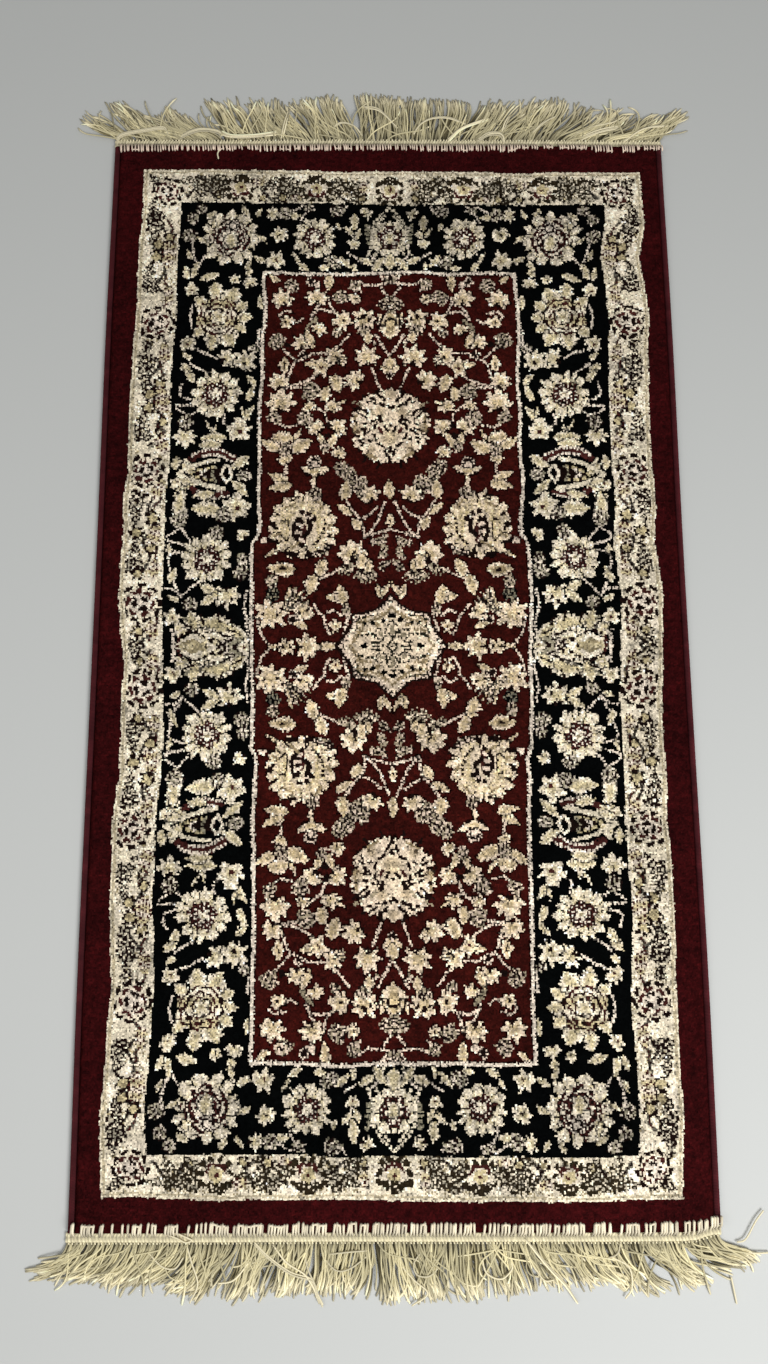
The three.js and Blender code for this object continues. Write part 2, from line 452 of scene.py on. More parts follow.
def rosette(x, y, size, petals=13, core=0.47, heart=0.17):
    """A ragged golden ring of petals, pale at their tips, round brown and rose knots and a pale heart."""
    patch = Patch(x, y, size)
    angle = patch.angle + 0.09 * np.sin(3 * patch.angle + x) + 0.07 * np.sin(5 * patch.angle + y)
    fold = waves(angle, petals)
    tips = saw(angle + math.pi / petals, petals) ** 0.8
    small_tips = saw(angle + 0.1, 3 * petals) * np.sin(2 * angle + y) ** 2
    edge = size / 2 * (0.74 + 0.2 * tips + 0.1 * small_tips)
    share = patch.r / edge
    patch.fill_outlined(share < 1, patch.petals(share * (0.35 + 0.7 * fold)))
    patch.fill((share < 0.92) & (share > 0.55) & (fold < 0.17) & (np.sin(3 * angle) > -0.5), TAN * 0.4)
    patch.fill((share < 1) & (share > 0.8) & (fold < 0.24), INK)
    within = 2 * patch.r / size
    wobble = core * (1 + 0.1 * np.sin(5 * patch.angle + y) + 0.2 * saw(angle, 9) ** 3)
    patch.fill(within < wobble, UMBER)
    patch.fill((within < wobble) & (patch.net < -0.7), BROWN)
    if size < SCALLOPED_FROM:
        patch.fill((within < 0.9 * wobble) & (patch.net > 0.95), ROSE)
    else:
        patch.fill((within < wobble) & (patch.scallops(7) > 0.35), blend(ROSE, CREAM, within))
    patch.fill(within < heart * (0.75 + 0.5 * waves(patch.angle, 5)), IVORY)
    patch.fill(within < 0.06, TAN)


def sunflower(x, y, size):
    """The corner palmette: a wide ring of knots with a golden heart inside the petals."""
    rosette(x, y, size, petals=11, core=0.6, heart=0.22)
    petal(x, y - 0.07 * size, 0.26 * size, 180)


# degrees, distance from the middle and width, as shares of the flower's size
ROUND_PETALS = [
    (-8, 0.42, 0.24), (28, 0.36, 0.32), (62, 0.38, 0.2), (90, 0.38, 0.22), (118, 0.38, 0.2),
    (150, 0.37, 0.32), (188, 0.38, 0.28), (228, 0.36, 0.2), (312, 0.36, 0.2),
]


def great_rosette(x, y, size):
    """The largest border flower: round petals about a knotted ring and a pale six-lobed heart."""
    for at, out, wide in ROUND_PETALS:
        petal(*beyond(x, y, out * size, -at), wide * size, -at)
    patch = Patch(x, y, size)
    ground = patch.r < size * (0.31 + 0.03 * np.sin(7 * patch.angle))
    patch.fill(ground, blend(UMBER, BROWN, ripple(0.4 * patch.side)))
    patch.fill(ground & (patch.scallops(8) > -0.25), blend(GOLD, IVORY, ripple(0.3 * patch.up)))
    star(x, y, size * 0.27, 0, points=6, heart=TAN)
    rim = [(x + out * size, y + up * size) for out, up in ((0.37, 0.17), (0.4, 0), (0.37, -0.17))]
    stroke(ROSE, 1.2, rim)


def thistle(x, y, size):
    """A large field flower: long saw-edged petals round a dark beaded core."""
    patch = Patch(x, y, size)
    teeth = saw(patch.angle, 17) * (0.7 + 0.3 * np.sin(3 * patch.angle + 1))
    edge = size / 2 * (0.8 + 0.2 * teeth + 0.06 * saw(patch.angle, 41))
    share = patch.r / edge
    patch.fill_outlined(share < 1, patch.petals(share * (0.6 + 0.4 * teeth), core=colour(184, 172, 130)))
    patch.fill((share < 1) & (share > 0.82) & (teeth < 0.12), UMBER)
    patch.fill(np.hypot(patch.side / 0.19, (patch.up + 0.05 * size) / 0.3) < size, CREAM)


def great_palmette(x, y, size):
    """The big flower on the long axis: a fringed shield with dashed rays and a golden eye."""
    patch = Patch(x, y, size)
    lobes = waves(patch.angle, 9)
    edge = size / 2 * (0.88 + 0.08 * lobes + 0.1 * saw(patch.angle + 0.05, 37))
    share = patch.r / edge
    patch.fill_outlined(share < 1, patch.petals(share * (0.6 + 0.5 * lobes), core=CREAM))
    patch.fill((share < 1) & (share > 0.84) & (lobes < 0.25), UMBER)
    for at in ((0, 267), (34, 229), (12, 247), (20, 206)):
        wash(*at, 8, TAN)
    wash(0, 220, 12, GOLD)
    draw(PALMETTE_STROKES)


# the outline of a quarter: degrees from the long axis, distance in mm
MEDALLION_EDGE = [
    (0, 51), (8, 44.5), (14, 41.5), (27, 38.5), (40, 42.5),
    (50, 48), (60, 43.5), (70, 44), (82, 48), (90, 52.5),
]


def medallion():
    """The centre: eight points edged in fine knotted lines, with dark knots about a small star."""
    patch = Patch(0, 0, 103)
    east, north = CELLS_X[patch.place], CELLS_Y[patch.place]
    degrees = np.degrees(np.arctan2(east, north))
    share = np.hypot(east, north) / np.interp(degrees, *zip(*MEDALLION_EDGE))
    patch.fill(share < 1.09, UMBER)
    patch.fill(share < 1.02, ROSE)
    patch.fill((share > 0.96) & (share < 1.03) & (np.sin(np.radians(degrees) * 70) < -0.5), UMBER)
    patch.fill(share < 0.95, CREAM)
    patch.fill((np.abs(share - 0.92) < 0.027) & (patch.knots > -0.5), MOSS)
    patch.fill((np.abs(share - 0.79) < 0.03) & (patch.knots > -0.4), TAN * 0.9)
    draw(MEDALLION_STROKES)


# Motifs of the light guard stripe
FERN_PAIRS = 5


def hollow_leaf(x, y, size, turn=0, tone=UMBER):
    """A small leaf drawn as a dark line round a grey inside."""
    patch = Patch(x, y, size, turn)
    share = np.hypot(patch.side / (0.28 * size), patch.up / (0.54 * size))
    patch.fill(share < 1, tone)
    patch.fill((share < 1) & (patch.net > 1.35), CREAM * 0.75)
    patch.fill(share < 0.36, CREAM * 0.85)


def fern(x, y, size, turn=0, tone=UMBER):
    """A spray on the cream guard: pairs of small hollow leaves up a stem, the longest at its foot."""
    foot = beyond(x, y, -0.5 * size, turn)
    for pair in range(FERN_PAIRS):
        length = 0.34 * size * (1 - 0.11 * pair)
        fork = beyond(*foot, (0.03 + 0.18 * pair) * size, turn)
        for way in (-1, 1):
            out = turn + way * (66 - 7 * pair)
            hollow_leaf(*beyond(*fork, 0.5 * length, out), length, out, tone)
    hollow_leaf(*beyond(*foot, 0.92 * size, turn), 0.22 * size, turn, tone)


end_fern = partial(fern, tone=DUSK)


def berries(x, y, size, turn=0):
    """A loose bunch of small brown knots on gold."""
    patch = Patch(x, y, size, turn)
    inside = np.hypot(patch.side / 0.24, patch.up / 0.44) < size
    patch.fill(inside, blend(GOLD, ROSE, ripple(0.5 * patch.up)))
    patch.fill(inside & (patch.net > 0.3), BROWN * 0.9)


def brown_rosette(x, y, size):
    """A guard rosette: rings of short dark arcs on rose and cream."""
    patch = Patch(x, y, size)
    share = patch.r / (size / 2 * (0.88 + 0.12 * waves(patch.angle, 8)))
    patch.fill(share < 1, blend(CREAM, ROSE, smooth(1, 0.2, share)))
    for at, count, tone in ((0.9, 9, UMBER), (0.6, 6, BROWN), (0.3, 3, UMBER)):
        on_ring = np.abs(share - at) < 0.105
        patch.fill(on_ring & (np.cos(patch.angle * count + 7 * at) > -0.6), tone)


def brown_flower(x, y, size):
    patch = Patch(x, y, size)
    share = patch.r / (size / 2 * (0.75 + 0.25 * waves(patch.angle, 5)))
    patch.fill((np.abs(share - 0.95) < 0.25) & (np.cos(patch.angle * 5 + x) > -0.6), UMBER)
    patch.fill(share < 0.7, GOLD)
    patch.fill((share < 0.7) & (patch.knots > 0.2), TAN)


def guard_palmette(x, y, size):
    """A dark dashed outline round rose, with a tan heart and dark knots at its foot."""
    patch = Patch(x, y, size)
    share = patch.r / (size / 2 * (0.78 + 0.22 * waves(patch.angle, 5)))
    patch.fill(share < 0.95, blend(ROSE, CREAM, share))
    patch.fill((share < 1.05) & (patch.up > 0.16 * size) & (patch.net < 0.9), DUSK)
    patch.fill((np.abs(share - 0.92) < 0.16) & (np.cos(patch.angle * 11) > -0.6), DUSK)
    patch.fill((np.abs(share - 0.6) < 0.11) & (patch.up < -0.05 * size), BROWN)
    patch.fill(share < 0.4, GOLD)
    patch.fill(share < 0.14, BROWN)


# Lines inside the large motifs. Each row is a tone and its lines, and each line is half its width,
# its points and, where it is dashed, the pitch of its dashes.
THISTLE_STROKES = [
    (UMBER, (4.5, [(93, 129), (90, 118), (91, 110)]), (3.0, [(90, 139), (84, 137), (78, 132)], 7),
     (1.4, [(67, 132), (68, 120), (73, 110), (79, 104)], 5),
     (0.8, [(110, 130), (104, 129), (104, 109), (113, 117)]), (1.0, [(85, 103), (86, 92)]),
     (2.2, [(80, 95), (70, 98), (61, 103)]), (2.8, [(102, 95), (96, 94)]), (1.4, [(102, 156), (94, 155)]),
     (1.0, [(64, 114), (54, 110)]), (1.7, [(121, 126), (116, 121)]), (1.9, [(122, 108), (115, 107)])),
    (BROWN, (2.4, [(88, 124), (88, 108)])),
    (UMBER, (2.4, [(95, 132), (98, 121), (96, 111), (89, 104)]), (2.4, [(83, 131), (81, 122), (87, 114)])),
    (ROSE, (1.5, [(87, 135), (82, 133)], 3), (2.0, [(94, 126), (90, 124)]), (1.8, [(95, 118), (91, 117)]),
     (1.6, [(92, 111), (89, 109)]), (1.0, [(78, 95), (70, 98), (62, 102)], 4)),
    (TAN, (1.2, [(106, 144), (97, 148)]), (1.3, [(112, 116), (117, 112)]), (1.2, [(74, 150), (68, 143)]),
     (1.1, [(60, 128), (64, 122)]), (1.2, [(92, 108), (100, 101)])),
]
PALMETTE_STROKES = [
    (TAN, (1.5, [(36, 243), (37, 226)]), (1.4, [(24, 202), (14, 197)])),
    (UMBER, (1.7, [(12, 272), (7, 261), (3, 254), (0, 251)], 11),
     (1.5, [(29, 265), (20, 262), (8, 254)], 11), (1.4, [(25, 259), (15, 256)], 11),
     (1.1, [(39, 252), (32, 246), (25, 240)]), (1.8, [(27, 249), (24, 245)]),
     (2.4, [(12, 242), (10, 237)]), (1.5, [(28, 234), (21, 236), (14, 239)], 11),
     (1.4, [(31, 228), (25, 229)]), (1.5, [(23, 226), (14, 235)], 11), (1.7, [(27, 223), (26, 226)]),
     (1.5, [(11, 238), (6, 231), (3, 227), (0, 233)], 11),
     (1.5, [(17, 231), (16, 221), (13, 215), (7, 210), (0, 208)], 11), (1.8, [(0, 207), (0, 198)], 11),
     (1.4, [(5, 206), (3, 200)]), (1.5, [(20, 216), (26, 219), (35, 215)], 11),
     (1.4, [(28, 214), (33, 207)], 11), (1.3, [(10, 193), (12, 187)]), (1.3, [(24, 200), (28, 194)]),
     (1.3, [(33, 222), (41, 223)], 11), (1.3, [(35, 236), (42, 238)], 11)),
    (BROWN, (1.8, [(12, 229), (9, 225)])),
    (SAGE, (1.6, [(38, 258), (31, 254)], 4), (1.6, [(21, 249), (18, 245)])),
]
MEDALLION_STROKES = [
    (UMBER, (1.0, [(0, 0), (1, 0)])),
    (SAGE, (2.6, [(0, 13), (0, 19)]), (2.2, [(11, 11), (12, 11)])),
    (IVORY, (1.7, [(1, 44), (9, 37), (20, 33)]), (1.7, [(46, 1), (41, 10), (37, 20)])),
    (MOSS, (1.1, [(0, 6.5), (5.5, 0)]), (1.2, [(9, 0), (20, 0)], 4.5), (1.1, [(12, 4), (20, 3.5)]),
     (1.0, [(1, 25), (6, 17), (1, 9)], 5), (1.1, [(7, 9), (8, 15), (15, 16), (17, 9), (11, 6), (7, 9)], 5),
     (1.5, [(20, 12), (35, 10)], 5)),
    (TAN, (2.0, [(15, 20), (17, 22)]), (1.3, [(22, 16), (34, 14)], 4), (1.3, [(24, 30), (36, 22)], 4),
     (1.3, [(0, 39), (8, 34), (16, 29)], 4), (1.3, [(41, 0), (37, 8), (33, 18)], 4)),
    (INK, (2.4, [(0, 30), (2, 30)]), (2.2, [(8, 25.5), (9.5, 26.5)]), (2.2, [(19, 22), (20.5, 23)]),
     (2.2, [(27, 0), (29.5, 0)]), (1.7, [(27, 22.5), (28, 24)])),
]
TULIP_STROKES = [
    (TAN, (1.5, [(0, 342), (3, 343)])),
    (UMBER, (1.1, [(0, 352), (4, 351), (6, 346)]), (1.1, [(8, 358), (10, 350), (11, 345)])),
]
EYE_STROKES = [
    (UMBER, (1.3, [(209, 12), (198, 15), (186, 10), (172, 0)], 8),
     (1.2, [(184, 14), (172, 15), (160, 8)], 7), (1.2, [(166, 0), (176, 8), (186, 0)], 8),
     (1.2, [(160, 17), (150, 12)]), (1.3, [(204, 22), (198, 19)]), (1.2, [(189, 32), (186, 24)]),
     (1.2, [(172, 33), (170, 25)]), (1.2, [(160, 28), (158, 21)])),
    (TAN, (1.7, [(197, 6), (206, 3)])),
    (BROWN, (1.6, [(213, 0), (211, 9)], 5)),
    (ROSE, (1.3, [(217, 0), (216, 12), (208, 17)], 4)),
    (IVORY, (1.6, [(150, 2), (144, 7)]), (2.2, [(206, 6), (198, 10), (190, 6)]),
     (2.0, [(182, 3), (176, 0)])),
    (SAGE, (1.8, [(160, 3), (152, 8)]), (1.6, [(205, 29), (200, 24)], 4)),
]
ALMOND_STROKES = [
    (BROWN, (4.5, [(160, 196), (176, 203), (192, 203), (206, 196)]),
     (3.5, [(166, 160), (178, 158), (192, 157), (202, 163)])),
    (UMBER, (10, [(192, 179), (178, 179)])),
    (CREAM, (2.4, [(170, 164), (188, 167), (205, 173), (218, 180)]),
     (2.0, [(176, 195), (192, 192), (206, 187), (217, 181)]), (1.6, [(206, 188), (212, 195)]),
     (1.5, [(204, 171), (212, 165)])),
    (IVORY, (1.4, [(168, 171), (173, 180), (168, 189), (163, 180), (168, 171)])),
    (GOLD, (1.4, [(182, 173), (194, 175), (204, 179), (194, 184), (182, 187)], 8)),
    (SAGE, (1.4, [(179, 172), (183, 180), (179, 188)], 4)),
    (ROSE, (1.5, [(190, 176), (195, 180), (190, 184)], 4),
     (1.5, [(160, 199), (176, 206), (193, 206), (206, 199)], 4),
     (1.4, [(163, 193), (178, 200), (195, 199)], 4), (1.4, [(166, 157), (180, 154), (194, 153)], 4),
     (1.3, [(172, 161), (184, 160), (198, 161)], 4)),
]
ARCH_STROKES = [
    (CREAM, (1.5, [(0, 484), (7, 477), (15, 468), (19, 455), (18, 440), (25, 424), (14, 418), (9, 410)], 5),
     (1.4, [(5, 474), (13, 464), (15, 450), (12, 436), (16, 428)], 5)),
    (SAGE, (2.5, [(24, 462), (22, 440)], 5)),
]

# The vines and motifs of the three grounds. Each row is a motif and its places: x, y, size, the degrees
# that it is turned to the right and, for a few, further looks. Later rows lie over earlier ones.
FIELD_VINES = [
    [(42, 33), (46, 20), (49, 8), (53, 0)], [(77, 43), (72, 34), (67, 30)], [(64, 35), (57, 37), (50, 31)],
    [(68, 30), (66, 20), (62, 13)], [(133, 28), (130, 13), (120, 0)], [(52, 80), (60, 75), (72, 70)],
    [(26, 113), (14, 117), (0, 121)], [(26, 113), (18, 122), (11, 134), (4, 152)],
    [(27, 113), (29, 128), (38, 141), (46, 153)], [(27, 134), (19, 138), (12, 146)],
    [(107, 190), (107, 183), (110, 178)], [(79, 176), (78, 164)], [(65, 238), (68, 247), (76, 254)],
    [(96, 234), (106, 232), (114, 236)], [(10, 273), (14, 285), (19, 298)],
    [(110, 276), (96, 278), (82, 284), (72, 292)], [(106, 275), (90, 274), (74, 268)],
    [(111, 318), (104, 311), (97, 305), (86, 308), (80, 312), (64, 312)],
    [(106, 283), (104, 292), (98, 304)], [(1, 313), (7, 322), (15, 336)],
    [(92, 351), (98, 347), (104, 352)], [(118, 356), (112, 361), (103, 358)],
    [(83, 352), (76, 361), (66, 361), (57, 358)], [(60, 361), (64, 368), (66, 378)],
    [(82, 356), (78, 364), (71, 372)], [(33, 396), (26, 392), (20, 391), (6, 393)],
    [(10, 388), (5, 381), (0, 375)], [(42, 334), (49, 325), (54, 318)], [(42, 396), (36, 390), (32, 384)],
    [(10, 402), (4, 394), (0, 396)],
]
FIELD_MOTIFS = [
    (leaf, (110, 301, 18, 0, 0.62, UMBER)),
    (speckled, (45, 38, 17), (9, 96, 16, -30), (7, 83, 15, -50), (9, 109, 16, 150), (17, 107, 13, 100),
     (70, 99, 22, -66), (47, 183, 31, 40), (0, 369, 29, 90)),
    (star, (56, 20, 15), (72, 297, 25, 70)),
    (tassel, (25, 82, 29, 180), (45, 86, 22, 195)),
    (curled, (109, 79, 27, 90)),
    (green, (118, 54, 18)),
    (bud, (80, 63, 22, 165), (70, 82, 19, -25), (23, 84, 13), (35, 128, 16, 35), (47, 163, 21, -8),
     (91, 210, 24, -65), (0, 301, 21)),
    (dotted, (119, 66, 15), (32, 168, 23, -10), (118, 327, 19, 30), (55, 336, 12), (53, 378, 19, 80),
     (38, 392, 15), (3, 398, 10.9)),
    (flower, (57, 309, 24), (110, 348, 18), (50, 351, 26), (38, 376, 15)),
    (striped, (107, 36, 35, -41), (56, 306, 14, -110)),
    (ivy, (39, 94, 33, 8), (54, 203, 19), (20, 157, 26, 20), (107, 196, 17), (76, 230, 24, 40),
     (55, 230, 24, -40), (60, 253, 20, -10), (112, 257, 35), (36, 283, 29, 70), (24, 308, 33, 8),
     (115, 280, 26, 20), (75, 339, 20, -30), (77, 375, 28), (114, 373, 28, 10)),
    (burr, (105, 0, 20), (120, 33, 35), (88, 36, 22, 20), (28, 352, 28)),
    (petal, (0, 345, 30, 180)),
    (spear, (118, 95, 18, 118), (95, 223, 16, -35), (51, 258, 10.9, -60)),
    (thistle, (89, 124, 75)),
    (leaf, (60, 51, 15, 70), (66, 0, 22, 90), (118, 0, 12, 90), (12, 58, 16, 14), (5, 60, 16, -28),
     (0, 131, 17), (47, 143, 19, 55), (0, 164, 21), (114, 176, 23, 62), (112, 167, 25, 97),
     (122, 213, 25, 62), (71, 217, 18, 20), (60, 217, 18, -20), (83, 300, 14, 80), (10, 352, 15, 20),
     (6, 297, 13, 50), (65, 396, 22, 180), (122, 399, 15, 55)),
    (dotted, (77, 159, 15), (68, 209, 13), (87, 241, 19, 30), (118, 242, 15, 80), (28, 340, 15),
     (103, 391, 18, 80)),
    (wings, (79, 181, 31)),
    (ring, (99, 28, 10), (79, 192, 15), (90, 311, 10), (0, 289, 9.1), (84, 396, 10.9)),
    (draw, (THISTLE_STROKES,), (TULIP_STROKES,)),
    (hole, (37, 95, 4), (0, 130, 3), (20, 151, 4), (65, 233, 5), (66, 222, 7), (106, 322, 7), (40, 350, 4),
     (28, 355, 6)),
    (ivy, (87, 0, 33, -90), (83, 254, 17, 10), (92, 323, 23)),
    (leaf, (91, 22, 16, 70), (83, 328, 20, 20)),
    (bead, (128, 108, 6), (79, 190, 7), (77, 392, 6)),
    (bud, (50, 54, 19, 8), (30, 87, 17, 170), (110, 220, 22, 85), (68, 268, 18, -10), (57, 280, 22, -160),
     (23, 332, 14)),
    (dotted, (107, 207, 17), (82, 271, 20, -60), (16, 326, 7.3)),
]

BORDER_VINES = [
    [(216, 279), (218, 267), (207, 262)], [(200, 256), (222, 255), (210, 245), (200, 249)],
    [(170, 245), (171, 235), (160, 231)], [(201, 317), (190, 313), (180, 307)],
    [(208, 302), (200, 296), (190, 292)], [(212, 124), (226, 112), (206, 104)],
    [(212, 124), (204, 112), (198, 104)], [(205, 99), (222, 94), (220, 76)],
    [(219, 70), (212, 60), (208, 52)], [(208, 52), (198, 62), (190, 70)], [(224, 60), (214, 58), (208, 52)],
    [(144, 56), (146, 40), (143, 24), (144, 8)], [(138, 340), (137, 322)],
    [(214, 440), (212, 426), (206, 412)], [(206, 412), (199, 424), (194, 432)],
    [(104, 478), (92, 484), (80, 478)], [(62, 476), (50, 478), (44, 484)],
    [(221, 134), (214, 127), (206, 136)], [(218, 16), (217, 0)], [(44, 430), (36, 424), (28, 418)],
    [(22, 460), (18, 446), (22, 430), (14, 420)], [(98, 452), (94, 470), (88, 478)],
]
BORDER_MOTIFS = [
    (rosette, (181, 268, 57), (185, 91, 55), (80, 446, 51), (0, 447, 47, 11, 0.56, 0.3)),
    (ivy, (149, 393, 18), (170, 307, 26, -60), (212, 222, 28, 180), (149, 114, 18, 40), (163, 53, 33, 180),
     (128, 475, 20, -90), (26, 476, 17, -70)),
    (flower, (167, 398, 14), (150, 303, 28), (118, 451, 22)),
    (sunflower, (172, 446, 69)),
    (hole, (166, 44, 5), (158, 48, 4)),
    (great_rosette, (182, 355, 74)),
    (ring, (170, 459, 16)),
    (leaf, (217, 405, 16, 20), (208, 408, 18, -15), (192, 401, 21, -70), (151, 409, 17), (138, 372, 17),
     (213, 297, 17, 50), (209, 288, 18, 30), (145, 283, 16, 40), (144, 268, 18, -20), (145, 247, 19, -35),
     (209, 186, 20, 55), (207, 167, 24, 115), (154, 166, 24, 50), (154, 192, 24, 125), (222, 100, 13, 20),
     (218, 74, 17, -20), (182, 60, 20, 60), (182, 48, 20, 120), (216, 50, 14, 60), (193, 473, 15, -50),
     (191, 463, 12), (216, 426, 13, 20), (140, 422, 16, 60), (151, 415, 14, -20), (157, 478, 15, 30),
     (142, 476, 13, -30), (138, 446, 15, 60), (37, 467, 20), (42, 455, 14, 40), (33, 452, 13, -20),
     (92, 413, 15, 60), (100, 424, 13, 30), (54, 460, 11, 30)),
    (spear, (151, 250, 13, 10), (187, 232, 18, 25), (181, 230, 13, -20)),
    (dotted, (142, 318, 11), (212, 238, 18), (150, 179, 16, 90), (176, 118, 17), (149, 90, 14),
     (150, 76, 18), (200, 44, 15, 60), (197, 26, 18), (214, 468, 14, 20), (205, 479, 14, 60),
     (217, 448, 17, 40), (113, 475, 17, -90), (88, 481, 13, 80), (56, 479, 18, 80), (60, 419, 18, 60)),
    (star, (211, 385, 19), (212, 325, 21), (154, 227, 31), (155, 145, 34), (217, 30, 22),
     (120, 421, 25, 40), (37, 440, 15)),
    (petal, (197, 26, 22, 10), (210, 17, 15, 40)),
    (leaf, (212, 310, 13, 60), (183, 219, 29, 90), (186, 211, 26, 85), (174, 22, 36, 80, 0.62),
     (154, 14, 26, 40, 0.6), (205, 444, 11, 60), (48, 420, 18, 40), (38, 413, 13), (70, 412, 13, 90)),
    (speckled, (160, 6, 24, 60)),
    (leaf, (150, 4, 16, 80), (188, 0, 56, 90, 0.66)),
    (bead, (217, 0, 5), (170, 459, 6)),
    (star, (147, 0, 17)),
    (speckled, (163, 0, 22, 90, 0.8)),
    (wash, (193, 0, 9, TAN), (174, 24, 8, GOLD), (177, 0, 5, SAGE)),
    (draw, (ALMOND_STROKES,), (EYE_STROKES,), (ARCH_STROKES,)),
    (star, (218, 170, 14)),
    (leaf, (211, 172, 17, 70), (187, 142, 30, 90, 0.6), (190, 157, 22, 100), (12, 417, 22, -40),
     (26, 420, 17, 60)),
    (bud, (221, 193, 16), (101, 472, 12, -90), (0, 446, 15, 180), (0, 420, 20)),
    (tulip, (213, 148, 28)),
    (dotted, (213, 132, 18), (171, 137, 17, 60)),
]

GUARD_VINES = [
    [(240, 232), (238, 244), (246, 256), (242, 270), (250, 284), (240, 300), (236, 318)],
    [(238, 380), (248, 392), (240, 410), (248, 430), (240, 446), (250, 462)],
    [(238, 160), (244, 146), (240, 124), (248, 108), (240, 92), (246, 78)], [(240, 12), (250, 4), (246, 0)],
    [(24, 514), (32, 496), (44, 490), (56, 500), (62, 514)], [(96, 492), (106, 504), (98, 514)],
    [(112, 514), (124, 492), (136, 500), (130, 514)], [(178, 508), (190, 494), (204, 512), (220, 494)],
]
# the brown line that winds along the inside of the long guards: its x, and its stretches in y
WINDING_X = 237
WINDING_LENGTH = 52
WINDING_STARTS = (6, 88, 148, 214, 290, 356, 418)
GUARD_MOTIFS = [
    (brown_rosette, (247, 348, 40), (250, 184, 38), (248, 44, 42), (242, 500, 36)),
    (fern, (256, 400, 34), (255, 293, 38, 180), (256, 233, 34), (256, 146, 34, 180), (256, 92, 34),
     (257, 2, 30, -6), (255, 456, 38, 180), (255, 318, 20, 170), (258, 516, 22, 45), (258, 478, 24)),
    (brown_flower, (255, 119, 16), (252, 74, 12), (252, 16, 12), (236, 238, 11), (30, 495, 12),
     (138, 494, 11), (186, 496, 13)),
    (end_fern, (216, 512, 26, 90), (42, 509, 34, 70), (57, 503, 32, 150), (40, 497, 26, 20)),
    (guard_palmette, (0, 504, 34), (79, 505, 34), (163, 505, 34)),
    (end_fern, (106, 507, 32, 30), (128, 509, 34, 100), (118, 500, 28, -20), (196, 512, 34, 80),
     (206, 499, 28, 160), (188, 503, 26, 20)),
    (berries, (236, 164, 24, -20), (235, 214, 26, 20), (237, 262, 36, 10), (236, 312, 26),
     (236, 380, 24, 10), (237, 426, 34), (238, 116, 30, -10), (236, 78, 22), (238, 16, 24, 10),
     (28, 508, 18), (142, 512, 18, 90), (100, 493, 16, 90)),
    (brown_flower, (250, 254, 13), (249, 268, 14), (238, 281, 13), (250, 424, 14), (249, 436, 13),
     (238, 446, 13), (240, 136, 15), (240, 100, 12), (116, 494, 11)),
    (hollow_leaf, (241, 226, 9, 30), (246, 212, 8, 70)),
]


def outlined_frame():
    """The pale knotted line round the field, which steps outwards beside the middle."""
    step = smooth(FRAME_STEP[1] + 7, FRAME_STEP[1] - 7, CELLS_Y)
    inner = FIELD[0] + (FRAME_STEP[0] - FIELD[0]) * step
    outside = np.hypot(np.maximum(CELLS_X - inner, 0), np.maximum(CELLS_Y - FIELD[1], 0))
    inside = np.minimum(inner - CELLS_X, FIELD[1] - CELLS_Y)
    gap = np.where(outside > 0, outside, inside)
    along = np.where(CELLS_X > inner - 3, CELLS_Y, CELLS_X)
    width = 1.7 + 0.5 * np.cos(TURN * along / 3.8)
    return inner, gap, width


# the guard's plain rim and the tan line in it, and the border's plain rim
GUARD_RIM = 5.5
GUARD_LINE = (2.2, 4.2)
BORDER_RIM = 2


def draw_motifs(rows):
    for motif, *places in rows:
        for place in places:
            motif(*place)


def paint_guard():
    """The light outer stripe with its brown lines and sprays."""
    guard = (CELLS_X < GUARD[0]) & (CELLS_Y < GUARD[1])
    paint[guard] = blend(CREAM, IVORY, smooth(-1, 1, soft_noise(CELLS_X, CELLS_Y, 9, 1, 13)))[guard]
    paint[guard & (KNOTS > 0.5) & (soft_noise(CELLS_X, CELLS_Y, 11, 1, 14) > 0.2)] = TAN
    for points in GUARD_VINES:
        vine(points, tone=UMBER, half=0.85, pitch=4.4)
    for start in WINDING_STARTS:
        ys = start + np.arange(0, WINDING_LENGTH, 4.0)
        winding = WINDING_X + 3.6 * np.sin(ys / 5.2) + 1.6 * np.sin(ys / 2.3)
        vine(list(zip(winding, ys)), tone=BROWN, half=0.7, pitch=3.1)
    draw_motifs(GUARD_MOTIFS)
    from_edge = np.minimum(GUARD[0] - CELLS_X, GUARD[1] - CELLS_Y)
    paint[guard & (from_edge < GUARD_RIM)] = CREAM
    paint[guard & (from_edge > GUARD_LINE[0]) & (from_edge < GUARD_LINE[1])] = blend(TAN, CREAM, 0.45)


def paint_border():
    """The black border, which covers what strays over from the guard."""
    paint[(CELLS_X < BORDER[0]) & (CELLS_Y < BORDER[1])] = INK
    for points in BORDER_VINES:
        vine(points)
    draw_motifs(BORDER_MOTIFS)
    from_edge = np.minimum(BORDER[0] - CELLS_X, BORDER[1] - CELLS_Y)
    paint[(from_edge >= 0) & (from_edge < BORDER_RIM)] = INK


def paint_field():
    """The red field with its flowers, and the pale line round it."""
    inner, frame_gap, frame_width = outlined_frame()
    in_field = (CELLS_X < inner) & (CELLS_Y < FIELD[1])
    paint[in_field] = RED
    for points in FIELD_VINES:
        vine(points)
    vine([(88, 332), (85, 343), (77, 352)], tone=SAGE, half=2.0)
    draw_motifs(FIELD_MOTIFS)
    great_palmette(0, 232, 82)
    medallion()
    paint[in_field & (paint.mean(2) > 0.25)] *= WARMER
    paint[frame_gap < frame_width] = ROSE
    # a dark rim outside the pale frame, partly outline and partly painted shade
    paint[(frame_gap >= frame_width) & (frame_gap < frame_width + 1.2)] *= MOTIF_SHADE


paint[:] = BAND
paint_guard()
paint_border()
paint_field()


# The cloth's outline, read from the CAD solid so that both agree
def points_of(node):
    return np.array([vertex.co[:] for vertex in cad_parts[node].data.vertices]) / MM


outline = points_of("rug_body")
outline = outline[np.abs(outline[:, 2]) < 0.05]


